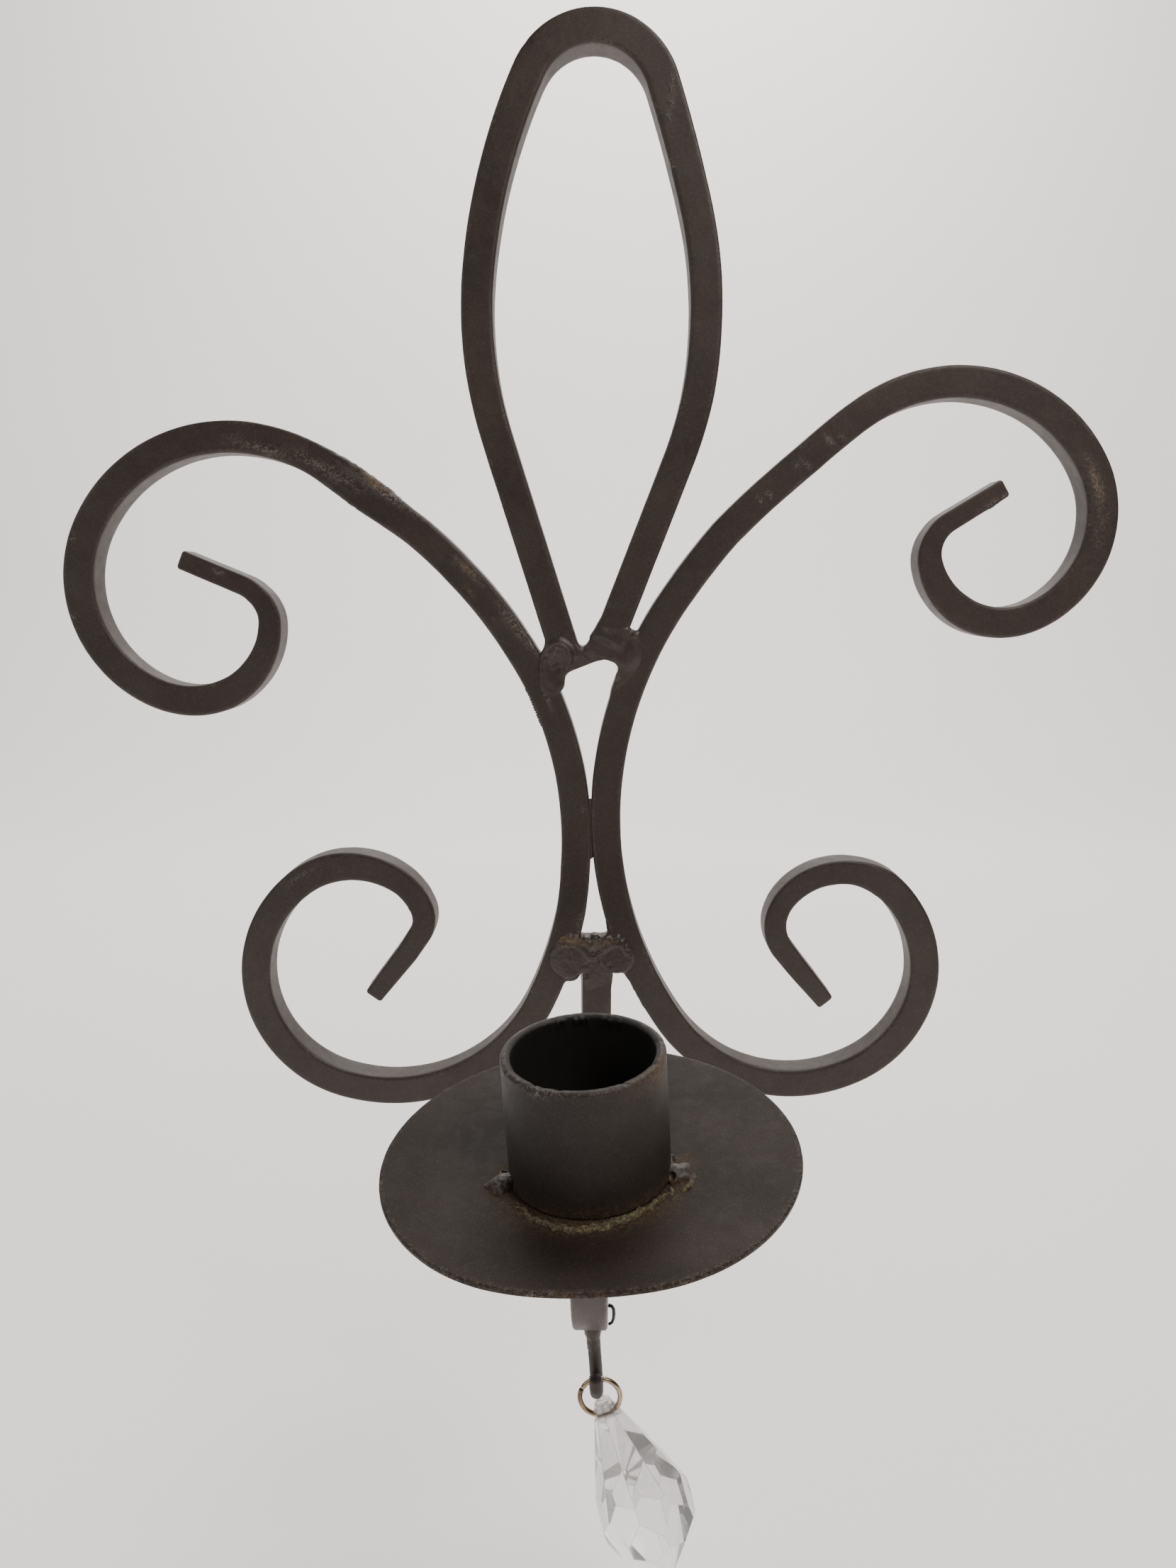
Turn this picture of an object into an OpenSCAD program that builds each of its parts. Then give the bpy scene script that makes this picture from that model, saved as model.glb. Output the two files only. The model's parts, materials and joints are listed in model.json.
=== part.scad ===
// Wrought-iron wall sconce: bent square bar in a lily outline, with a drip
// pan and candle cup on a J-shaped arm and a crystal drop hanging below.
// Frame: +X to the right, +Z up, the wall is the plane y = 0, the front faces -Y.
// Origin: the highest point inside the centre loop, where a nail or peg sits.

/* [Bar stock] */
// Width of the square bar across its flats
bar_w = 9.5; // [9:0.25:9.75]
// Radius of the bar's long edges
edge_r = 1; // [0.6:0.1:1.6]

/* [Centre loop] */
// Length of the loop's straight left leg
loop_left_leg = 70; // [60:1:74]
// Length of the loop's straight right leg
loop_right_leg = 57; // [48:1:62]
// Radius of the tight bend at the top of the loop
loop_top_r = 21; // [18:0.5:24]

/* [Scrolls] */
// Length of the straight tip inside each upper curl
curl_tip = 19; // [12:1:24]
// Length of the straight tail inside each lower curl
curl_tail = 25; // [16:1:30]

/* [Arm] */
// Height of the arm's cut top end below the origin
arm_top_drop = 264; // [263:0.5:268]
// Length of the arm's straight run down behind the pan
arm_down = 42; // [36:1:50]
// Radius of the arm's forward bend, to the middle of the bar
arm_bend_r = 48; // [40:1:52]
// Length of the arm's straight run up to the pan
arm_up = 22.4; // [16:0.2:22.4]
// Turn of the arm about its upright leg
arm_yaw = 1.2; // [0:0.2:2]

/* [Pan and cup] */
// Diameter of the drip pan
pan_d = 101.6; // [90:0.2:110]
// Thickness of the drip pan
pan_t = 1.4; // [1:0.1:2]
// Forward droop of the pan
pan_droop = 5; // [0:0.5:8]
// Sideways lean of the pan
pan_lean = 3.2; // [0:0.2:5]
// Outer diameter of the candle cup
cup_d = 38.5; // [36:0.5:44]
// Inner diameter of the candle cup
cup_bore_d = 33.5; // [32:0.5:35.5]
// Height of the candle cup above the pan
cup_h = 31; // [22:1:36]
// How far the cup stands in front of the pan's middle
cup_forward = 7; // [0:0.5:10]

/* [Hook and ring] */
// Diameter of the hook's round rod
hook_d = 3.8; // [3:0.1:4]
// Distance from the wall to the hook's shank
hook_reach = 80; // [76:0.5:84]
// Sideways lean of the hook
hook_lean = 4; // [0:0.5:6]
// Outer diameter of the jump ring
ring_d = 12.4; // [12:0.1:13]
// Diameter of the jump ring's wire
ring_wire_d = 1.4; // [1.2:0.1:1.5]

/* [Crystal drop] */
// Length of the crystal drop
crystal_l = 57; // [50:1:64]
// Width of the crystal drop across its corners
crystal_w = 27; // [22:0.5:30]
// Diameter of the cross hole in the crystal's neck
crystal_hole_d = 3.4; // [3.4:0.1:3.8]
// Sideways tilt of the ring and crystal as they hang at rest
hang_tilt = 20.5; // [0:0.5:30]

/* [Hidden] */
$fa = 4;
$fs = 0.5;
// Stations of a swept bar: the widest turn between two of them, and how far
// the bar's middle line may cut inside its true arc
bend_step = 6;
arc_error = 0.03;

// Bending schedule of each bar: [radius to the middle of the bar, turn in
// degrees]; a radius of 0 means a straight run, and its second value is a length.
loop_runs = [
    [0, loop_left_leg], [115, 23], [160, 20], [loop_top_r, 135.5],
    [400, 5], [118, 35], [0, loop_right_leg]
];
left_runs = [
    [0, curl_tip + 1], [13, 71], [26, 107.5], [37, 97.5], [50, 96], [0, 28],
    [124, 78.5], [55, 83.5], [39, 128], [27, 86.5], [10, 75], [0, curl_tail + 1.5]
];
right_runs = [
    [0, curl_tip], [12.5, 74.5], [24, 97], [32, 102.5], [48.5, 89], [237, 16.5],
    [122, 73.5], [48, 83], [38, 107], [23.5, 99], [14, 77], [0, curl_tail - 2]
];
// The arm: down, forward round the bend and up
arm_runs = [[0, arm_down], [arm_bend_r, 180 - pan_droop], [0, arm_up]];
// Where each bar starts in its plane, [x, z, heading]; the arm's x is from the wall
loop_start = [-9.5, -172.8, 107.3];
left_start = [-127, -141.5, -23];
right_start = [122.45, -120.5, 211.5];
arm_start = [bar_w / 2, -arm_top_drop, -90];

// Middle of the pan's upper face
pan_x = -1.7;
pan_y = -102.5;
pan_z = -286;

// Hook: bend radius to the middle of the rod and the heights of its ends
hook_bend_r = 3.2;
hook_bend_z = -363.4;
hook_tip_rise = 3;
hook_top = 16;

// Ring and crystal: the ring hangs round the bottom of the hook's bend, and its
// wire curves up through the crystal's straight hole. Drops are from the pivot.
pivot_y = -hook_reach - hook_bend_r;
pivot_z = hook_bend_z - hook_bend_r;
ring_play = 0.15;
ring_r = (ring_d - ring_wire_d) / 2;
ring_drop = ring_r - ring_wire_d / 2 - hook_d / 2 - ring_play;
wire_rise = 0.7;
hole_drop = ring_drop + ring_r - wire_rise;
hole_below_top = 3.4;

// Welds: facets round a bead, how far a dome's root goes below the bars' front,
// how far a plug's face lies below it, its gap to the wall and to the bars
weld_fn = 72;
dome_root = 0.6;
plug_sink = 0.3;
weld_back = 0.8;
weld_gap = 0.04;

// ---- Bar -------------------------------------------------------------

// Where a bar stands is [x, z, heading] in the wall plane. This is where it
// stands after one more run; side is 1 where the bar turns left, -1 right
function after_run(at, run, side) =
    let (radius = run[0], turned = at[2] + side * run[1])
    radius == 0
        ? [at[0] + run[1] * cos(at[2]), at[1] + run[1] * sin(at[2]), at[2]]
        : [
            at[0] + side * radius * (sin(turned) - sin(at[2])),
            at[1] - side * radius * (cos(turned) - cos(at[2])),
            turned
        ];

// Where a bar stands before its run number i
function before_run(start, runs, side, i) =
    i == 0 ? start : after_run(before_run(start, runs, side, i - 1), runs[i - 1], side);

// How many stations a run needs
function station_count(run) =
    run[0] == 0 ? 1 : ceil(run[1] / min(bend_step, 2 * acos(1 - arc_error / run[0])));

// Stations along a whole bar
function stations(start, runs, side) = [
    start,
    for (i = [0 : len(runs) - 1])
        let (
            at = before_run(start, runs, side, i),
            count = station_count(runs[i])
        )
        for (j = [1 : count]) after_run(at, [runs[i][0], runs[i][1] * j / count], side)
];

// Outline of the bar: [across, out from the wall], its corners rounded
function bar_outline() =
    let (half = bar_w / 2 - edge_r)
    [
        for (corner = [0 : 3])
            let (
                across = (corner == 0 || corner == 3) ? half : -half,
                out = corner < 2 ? bar_w - edge_r : edge_r
            )
            for (part = [0 : 2])
                let (bearing = corner * 90 + part * 45)
                [across + edge_r * cos(bearing), out + edge_r * sin(bearing)]
    ];

// A bar swept through its stations in the wall plane
module swept_bar(start, runs, side) {
    line = stations(start, runs, side);
    outline = bar_outline();
    n = len(outline);
    last = (len(line) - 1) * n;
    points = [
        for (at = line, p = outline) [at[0] - p[0] * sin(at[2]), -p[1], at[1] + p[0] * cos(at[2])]
    ];
    sides = [
        for (i = [0 : len(line) - 2], j = [0 : n - 1])
            [i * n + j, i * n + n + j, i * n + n + (j + 1) % n, i * n + (j + 1) % n]
    ];
    polyhedron(
        points,
        concat(sides, [[for (j = [0 : n - 1]) j]], [[for (j = [n - 1 : -1 : 0]) last + j]])
    );
}

// One run of a bar with sharp edges, which the metal joined to it is cut back by
module run_cut(start, runs, side, i) {
    at = before_run(start, runs, side, i);
    cut_w = bar_w + 2 * weld_gap;
    rotate([90, 0, 0]) translate([at[0], at[1], 0]) rotate([0, 0, at[2]])
        if (runs[i][0] == 0)
            translate([0, -cut_w / 2, -weld_gap]) cube([runs[i][1], cut_w, cut_w]);
        else
            mirror([0, side < 0 ? 1 : 0, 0]) translate([0, runs[i][0], 0]) rotate([0, 0, -90])
                rotate_extrude(angle = runs[i][1], $fn = 360)
                    translate([runs[i][0] - cut_w / 2, -weld_gap]) square(cut_w);
}

// The runs of the frame bars that meet at the joints
module left_leg() { run_cut(loop_start, loop_runs, -1, 0); }
module right_leg() { run_cut(loop_start, loop_runs, -1, len(loop_runs) - 1); }
module left_waist() { run_cut(left_start, left_runs, -1, 6); }
module right_waist() { run_cut(right_start, right_runs, 1, 6); }

// Turns what lies in the wall plane into the arm's plane, square to the wall
module in_arm_plane() {
    rotate([0, 0, -arm_yaw]) translate([bar_w / 2, 0, 0]) rotate([0, 0, -90]) children();
}

// Runs of the arm by themselves: 0 leads down, 1 is the bend, 2 leads up to the pan
module arm_cut(i) { in_arm_plane() run_cut(arm_start, arm_runs, 1, i); }

// ---- Frame -----------------------------------------------------------

module centre_loop() { color("#3b322e") swept_bar(loop_start, loop_runs, -1); }
module left_scroll() { color("#3a312d") swept_bar(left_start, left_runs, -1); }
module right_scroll() { color("#403731") swept_bar(right_start, right_runs, 1); }
module candle_arm() { color("#3d3430") in_arm_plane() swept_bar(arm_start, arm_runs, 1); }

// ---- Pan and cup -----------------------------------------------------

// Places a piece on the pan: z = 0 is the pan's upper face
module on_pan() {
    translate([pan_x, pan_y, pan_z]) rotate([pan_droop, -pan_lean, 0]) children();
}

module drip_pan() {
    color("#423732") on_pan() translate([0, 0, -pan_t]) cylinder(d = pan_d, h = pan_t);
}

// Places a piece at the cup's foot: z = 0 is the pan's upper face
module at_cup() {
    on_pan() translate([0, -cup_forward, 0]) children();
}

module candle_cup() {
    color("#3f3531") at_cup() difference() {
        cylinder(d = cup_d, h = cup_h);
        translate([0, 0, -1]) cylinder(d = cup_bore_d, h = cup_h + 2);
    }
}

// ---- Hook, ring and crystal ------------------------------------------

// Places a piece on the hook: the origin is the middle of the rod at the
// bottom of its bend, with the shank towards the wall
module on_hook() {
    translate([0, pivot_y, pivot_z]) rotate([0, -hook_lean, 0]) children();
}

module hook_rod() {
    on_hook() translate([0, 0, hook_bend_r]) {
        translate([0, hook_bend_r, 0]) cylinder(d = hook_d, h = hook_top);
        rotate([0, 90, 0]) rotate([0, 0, -90])
            rotate_extrude(angle = 180) translate([hook_bend_r, 0]) circle(d = hook_d);
        translate([0, -hook_bend_r, 0]) cylinder(d = hook_d, h = hook_tip_rise);
    }
}

module crystal_hook() {
    color("#332b28") difference() {
        hook_rod();
        arm_cut(1);
    }
}

// Places a piece that hangs on the hook: the origin is the ring's pivot
module hanging() {
    translate([0, pivot_y, pivot_z]) rotate([0, -hang_tilt, 0]) children();
}

// Open ring of round wire, split at its upper left
module pendant_ring() {
    split_at = 135;
    split_turn = 5;
    color("#9b8a6a") hanging() translate([0, 0, -ring_drop])
        rotate([90, 0, 0]) rotate([0, 0, split_at])
            rotate_extrude(angle = 360 - split_turn)
                translate([ring_r, 0]) circle(d = ring_wire_d);
}

// Eight-sided tapered block from radius low_r at the bottom to high_r at the
// top, measured to its flats
module octagon_block(low_r, high_r, height, phase) {
    rotate([0, 0, phase])
        cylinder(r1 = low_r / cos(22.5), r2 = high_r / cos(22.5), h = height, $fn = 8);
}

// Cut of the drop with its top at z = 0: crown, belt and point, each an
// eight-sided taper, the second crown and point turned half a side
module crystal_cut() {
    belt_r = crystal_w / 2 * cos(22.5);
    neck_r = 2.2;
    point_r = 0.9;
    crown_slope = 0.4;
    crown_slope_between = 0.325;
    point_slope = 0.97;
    point_slope_between = 0.68;
    intersection() {
        translate([0, 0, -crystal_l]) octagon_block(belt_r, belt_r, crystal_l, 22.5);
        translate([0, 0, -crystal_l])
            octagon_block(neck_r + crystal_l * crown_slope, neck_r, crystal_l, 22.5);
        translate([0, 0, -crystal_l])
            octagon_block(neck_r + crystal_l * crown_slope_between, neck_r, crystal_l, 0);
        translate([0, 0, -crystal_l])
            octagon_block(point_r, point_r + crystal_l * point_slope, crystal_l, 22.5);
        translate([0, 0, -crystal_l])
            octagon_block(point_r, point_r + crystal_l * point_slope_between, crystal_l, 0);
    }
}

module crystal_drop() {
    color("#dfe3e6") hanging() translate([0, 0, -hole_drop]) difference() {
        translate([0, 0, hole_below_top]) crystal_cut();
        translate([-crystal_w / 2, 0, 0]) rotate([0, 90, 0])
            cylinder(d = crystal_hole_d, h = crystal_w);
    }
}

// ---- Welds -----------------------------------------------------------

// Flat dome of weld metal on the front face of the frame at [x, z]: spread is
// its radius on the face and proud is how far it stands out
module weld_dome(x, z, spread, proud) {
    translate([x, -bar_w, z]) rotate([90, 0, 0])
        rotate_extrude($fn = weld_fn) polygon([
            [0, -dome_root],
            [spread, -dome_root],
            [spread, 0.2 * proud],
            [0.8 * spread, 0.7 * proud],
            [0.45 * spread, proud],
            [0, proud]
        ]);
}

// Plug of weld metal filling the gap between bars round [x, z]
module weld_plug(x, z, r) {
    translate([x, -weld_back, z]) rotate([90, 0, 0])
        cylinder(r = r, h = bar_w - weld_back - plug_sink, $fn = weld_fn);
}

module loop_left_metal() {
    weld_dome(-12, -172.4, 4.4, 1.3);
    weld_plug(-13.2, -174.5, 4.6);
    weld_dome(-13.2, -179.4, 2.6, 0.9);
}

module loop_right_metal() {
    weld_dome(8.2, -167.6, 4.2, 1.2);
    weld_plug(9.6, -169, 4.2);
}

module weld_loop_left() {
    color("#4a403b") difference() {
        loop_left_metal();
        left_leg();
        left_waist();
    }
}

module weld_loop_right() {
    color("#4a403b") difference() {
        loop_right_metal();
        right_leg();
        right_waist();
    }
}

// Bar of weld metal between the loop's two legs
module weld_loop_bridge() {
    bridge_z = -171.5;
    bridge_h = 4.6;
    color("#463c37") difference() {
        translate([-9, -bar_w, bridge_z - bridge_h / 2]) cube([15, bar_w - weld_back, bridge_h]);
        left_leg();
        right_leg();
        left_waist();
        right_waist();
        loop_left_metal();
        loop_right_metal();
    }
}

// Thin bead down the groove where the two scrolls touch
module weld_scroll_contact() {
    contact_x = -2.05;
    contact_top = -217.5;
    contact_l = 19;
    bead_r = 1.15;
    color("#372e2b") difference() {
        translate([contact_x, -bar_w + 0.7, contact_top - contact_l])
            cylinder(r = bead_r, h = contact_l, $fn = weld_fn);
        left_waist();
        right_waist();
    }
}

module arm_left_metal() {
    weld_dome(-7.6, -270.4, 5.6, 0.9);
    weld_plug(-7.4, -272.6, 4.4);
}

module arm_right_metal() {
    weld_dome(7.4, -269.2, 5.4, 0.9);
    weld_plug(7.2, -270.6, 4.1);
}

module weld_arm_left() {
    color("#453b35") difference() {
        arm_left_metal();
        left_waist();
        arm_cut(0);
    }
}

module weld_arm_right() {
    color("#453b35") difference() {
        arm_right_metal();
        right_waist();
        arm_cut(0);
    }
}

// Lumpy bead across the arm's cut top end
module weld_arm_crown() {
    color("#4c4139") difference() {
        union() for (x = [-2.6, 0, 2.6]) {
            weld_plug(x, -263.2, 2);
            weld_dome(x, -263.4, 1.9, 0.7);
        }
        left_waist();
        right_waist();
        arm_cut(0);
        arm_left_metal();
        arm_right_metal();
    }
}

// Collar of weld round the arm's end, under the pan
module weld_arm_pan() {
    collar_h = 2.6;
    color("#40362f") difference() {
        on_pan() translate([-0.4, 0, -pan_t - collar_h])
            cylinder(r1 = 7, r2 = 8.4, h = collar_h);
        arm_cut(2);
    }
}

// Tack weld at the foot of the cup, at the given bearing on the pan
module cup_tack(bearing, size) {
    at_cup() difference() {
        rotate([0, 0, bearing]) translate([cup_d / 2 + 0.6, 0, 0.4]) sphere(size);
        translate([0, 0, -1]) cylinder(d = cup_d, h = cup_h);
        translate([0, 0, -2 * size]) cylinder(d = pan_d, h = 2 * size);
    }
}

module weld_cup_left() { color("#5a4f46") cup_tack(190, 3.2); }
module weld_cup_right() { color("#5a4f46") cup_tack(-8, 2.9); }

// Bead where the hook's rod meets the underside of the arm
module weld_hook() {
    bead_r = 2.9;
    bead_up = 11.6;
    color("#2f2724") difference() {
        on_hook() translate([0, hook_bend_r, hook_bend_r + bead_up]) sphere(bead_r);
        arm_cut(1);
        hook_rod();
    }
}

centre_loop();
left_scroll();
right_scroll();
candle_arm();
drip_pan();
candle_cup();
crystal_hook();
pendant_ring();
crystal_drop();
weld_loop_left();
weld_loop_right();
weld_loop_bridge();
weld_scroll_contact();
weld_arm_left();
weld_arm_right();
weld_arm_crown();
weld_arm_pan();
weld_cup_left();
weld_cup_right();
weld_hook();
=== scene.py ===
"""Looks of the wrought-iron wall sconce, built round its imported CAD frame.

Shapes are worked out in millimetres in the part's frame (wall at y = 0, front
towards -Y, +Z up) and scaled to metres when their mesh is made.
"""
import functools
import itertools
import json
import math

import bmesh
import bpy
import numpy as np
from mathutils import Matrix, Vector, noise


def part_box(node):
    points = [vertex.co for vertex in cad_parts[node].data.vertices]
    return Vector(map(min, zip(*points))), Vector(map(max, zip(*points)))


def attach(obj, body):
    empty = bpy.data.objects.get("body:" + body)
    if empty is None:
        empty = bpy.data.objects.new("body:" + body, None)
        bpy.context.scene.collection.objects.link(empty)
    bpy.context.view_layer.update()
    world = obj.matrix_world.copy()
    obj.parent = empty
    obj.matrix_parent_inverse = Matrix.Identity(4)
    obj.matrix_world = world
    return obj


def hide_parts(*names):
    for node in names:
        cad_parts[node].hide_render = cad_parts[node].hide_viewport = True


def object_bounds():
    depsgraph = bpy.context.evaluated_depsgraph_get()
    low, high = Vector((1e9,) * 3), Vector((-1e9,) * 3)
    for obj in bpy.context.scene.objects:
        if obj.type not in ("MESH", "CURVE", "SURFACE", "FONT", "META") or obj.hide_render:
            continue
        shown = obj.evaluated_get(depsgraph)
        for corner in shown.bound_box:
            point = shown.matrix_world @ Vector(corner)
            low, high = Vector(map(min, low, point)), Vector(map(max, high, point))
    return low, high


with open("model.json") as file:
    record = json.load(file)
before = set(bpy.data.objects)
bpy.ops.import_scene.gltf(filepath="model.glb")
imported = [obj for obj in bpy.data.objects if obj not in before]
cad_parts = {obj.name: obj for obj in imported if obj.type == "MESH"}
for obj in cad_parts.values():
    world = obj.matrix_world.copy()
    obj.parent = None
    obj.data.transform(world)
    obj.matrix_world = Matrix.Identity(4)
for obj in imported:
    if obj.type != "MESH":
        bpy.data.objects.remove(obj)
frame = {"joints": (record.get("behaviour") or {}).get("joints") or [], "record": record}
cad_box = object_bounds()

MM = 0.001


# ---- Places read from the frame ----

def node_box(node):
    """Lowest and highest corner of a CAD node, in millimetres."""
    low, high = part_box(node)
    return np.array(low) / MM, np.array(high) / MM


def named(rows, name):
    return next(row for row in rows if row["name"] == name)


def unit(v):
    v = np.asarray(v, float)
    return v / np.linalg.norm(v)


BOX_LOW, BOX_HIGH = (np.array(corner) / MM for corner in cad_box)
BAR_W = node_box("centre_loop")[1][1] - node_box("centre_loop")[0][1]
HALF = BAR_W / 2
# Radius of the bars' long edges
EDGE_R = 1.0

cup_mount = named(frame["record"]["mounts"], "candle_cup")
CUP_BORE_R = cup_mount["dims"]["r_mm"]
CUP_WALL = 2.5
CUP_R = CUP_BORE_R + CUP_WALL
CUP_H = cup_mount["dims"]["length_mm"]
PAN_R = 50.8
PAN_T = 1.4
# How far the pan's front is cut flat
PAN_FLAT = 2.0
PAN_UP = unit(cup_mount["axis"])
PAN_RIGHT = unit(np.cross((0, 1, 0), PAN_UP))
PAN_BACK = np.cross(PAN_UP, PAN_RIGHT)
PAN_AT = (node_box("drip_pan")[0] + node_box("drip_pan")[1]) / 2 + PAN_UP * PAN_T / 2
CUP_AT = np.array(cup_mount["pos_m"]) / MM - PAN_UP * CUP_H / 2

RING_PIVOT = np.array(named(frame["joints"], "ring_sway")["pos_m"]) / MM
HOLE_AT = np.array(named(frame["joints"], "crystal_swing")["pos_m"]) / MM
HANG_DOWN = unit(HOLE_AT - RING_PIVOT)
HANG_ACROSS = unit(named(frame["joints"], "crystal_swing")["axis"])

# Bending schedules: [radius, turn in degrees], where radius 0 is a straight
# length; start is [x, z, heading] and side is 1 where the bar turns left
LOOP = {
    "start": (-9.5, -172.8, 107.3), "side": -1,
    "runs": [(0, 70), (115, 23), (160, 20), (21, 135.5), (400, 5), (118, 35), (0, 57)],
}
LEFT = {
    "start": (-127.0, -141.5, -23.0), "side": -1,
    "runs": [
        (0, 20), (13, 71), (26, 107.5), (37, 97.5), (50, 96), (0, 28),
        (124, 78.5), (55, 83.5), (39, 128), (27, 86.5), (10, 75), (0, 26.5),
    ],
}
RIGHT = {
    "start": (122.45, -120.5, 211.5), "side": 1,
    "runs": [
        (0, 19), (12.5, 74.5), (24, 97), (32, 102.5), (48.5, 89), (237, 16.5),
        (122, 73.5), (48, 83), (38, 107), (23.5, 99), (14, 77), (0, 23),
    ],
}
# The arm's x is its distance from the wall; it turns about its upright leg
ARM = {"start": (HALF, -264.0, -90.0), "side": 1, "runs": [(0, 42), (48, 175), (0, 22.4)]}
ARM_YAW = math.radians(-1.2)
# Twist of the arm's bar in degrees along its length
ARM_TWIST = [(0, -8), (70, 0), (240, 0)]


# ---- Helpers ----

def lumps(points, size, seed=0.0):
    """Smooth noise from about -1 to 1 at each point, with lumps of that size."""
    shifted = np.asarray(points) / size + np.array((seed, 2.3 * seed, -seed))
    return np.array([noise.noise(Vector(p)) for p in shifted])


def bell(distance, width):
    """1 at no distance, falling smoothly to 0 past the width."""
    return np.exp(-(distance / width) ** 2)


def off_bearing(bearing, middle):
    """How far a bearing in degrees is from another, either way round."""
    return np.abs((bearing - middle + 180) % 360 - 180)


def make_piece(name, points, faces, material, body, replaced, marks=None, smooth=True):
    """A mesh from points in millimetres that rides on a body in place of CAD nodes. On the
    frame it is held within the CAD model's box. marks are numbers per point that the
    material reads."""
    if body == "frame":
        points = np.clip(points, BOX_LOW, BOX_HIGH)
    mesh = bpy.data.meshes.new(name)
    rows = [tuple(map(int, face)) for face in faces]
    mesh.from_pydata((np.asarray(points) * MM).tolist(), [], rows)
    mesh.update()
    mesh.polygons.foreach_set("use_smooth", [smooth] * len(mesh.polygons))
    for key, values in (marks or {}).items():
        layer = mesh.attributes.new(key, "FLOAT", "POINT")
        layer.data.foreach_set("value", np.clip(values, 0, 1).astype(np.float32))
    mesh.materials.append(material)
    piece = bpy.data.objects.new(name, mesh)
    bpy.context.scene.collection.objects.link(piece)
    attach(piece, body)
    if replaced:
        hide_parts(*replaced)
    return piece


def skin(rings, count, closed=False, capped=True):
    """Faces of a sweep of rings of count points each, numbered ring by ring."""
    bands = rings if closed else rings - 1
    i, j = np.meshgrid(np.arange(bands), np.arange(count), indexing="ij")
    here, after = i * count, (i + 1) % rings * count
    along = (j + 1) % count
    faces = np.stack([here + j, here + along, after + along, after + j], -1)
    faces = faces.reshape(-1, 4).tolist()
    if capped and not closed:
        faces.append(list(range(count - 1, -1, -1)))
        faces.append(list(range((rings - 1) * count, rings * count)))
    return faces


# ---- Bars ----

def walk(bar, step=0.6):
    """Stations along a bar's middle line: columns x, z, heading, length so far."""
    x, z, heading = bar["start"]
    done = 0.0
    stations = [(x, z, heading, done)]
    for radius, amount in bar["runs"]:
        length = radius * math.radians(amount) if radius else amount
        count = math.ceil(length / step)
        start_x, start_z, start_heading = x, z, heading
        sin0, cos0 = math.sin(math.radians(heading)), math.cos(math.radians(heading))
        for i in range(1, count + 1):
            part = i / count
            if radius:
                heading = start_heading + bar["side"] * amount * part
                turn = math.radians(heading)
                x = start_x + bar["side"] * radius * (math.sin(turn) - sin0)
                z = start_z - bar["side"] * radius * (math.cos(turn) - cos0)
            else:
                x, z = start_x + amount * part * cos0, start_z + amount * part * sin0
            stations.append((x, z, heading, done + length * part))
        done += length
    return np.array(stations)


def bar_outline(counts=(12, 6, 4, 6), corner=4):
    """Points round a bar's section: across, out, their normal, and 1 on an edge. counts are
    the steps over its front, one side, its back and the other side."""
    inner = HALF - EDGE_R
    centres = [(inner, inner), (-inner, inner), (-inner, -inner), (inner, -inner)]
    rows = []
    for i, (across, out) in enumerate(centres):
        for k in range(corner + 1):
            turn = math.radians(90 * (i + k / corner))
            n = (math.cos(turn), math.sin(turn))
            rows.append((across + EDGE_R * n[0], out + EDGE_R * n[1], *n, 1.0))
        next_across, next_out = centres[(i + 1) % 4]
        for k in range(1, counts[i]):
            part = k / counts[i]
            rows.append((
                across + (next_across - across) * part + EDGE_R * n[0],
                out + (next_out - out) * part + EDGE_R * n[1], *n, 0.0,
            ))
    return np.array(rows)


# How long a filed end is, and by what part it draws in
END_FILED = 0.9
END_DRAWN_IN = 0.16


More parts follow.
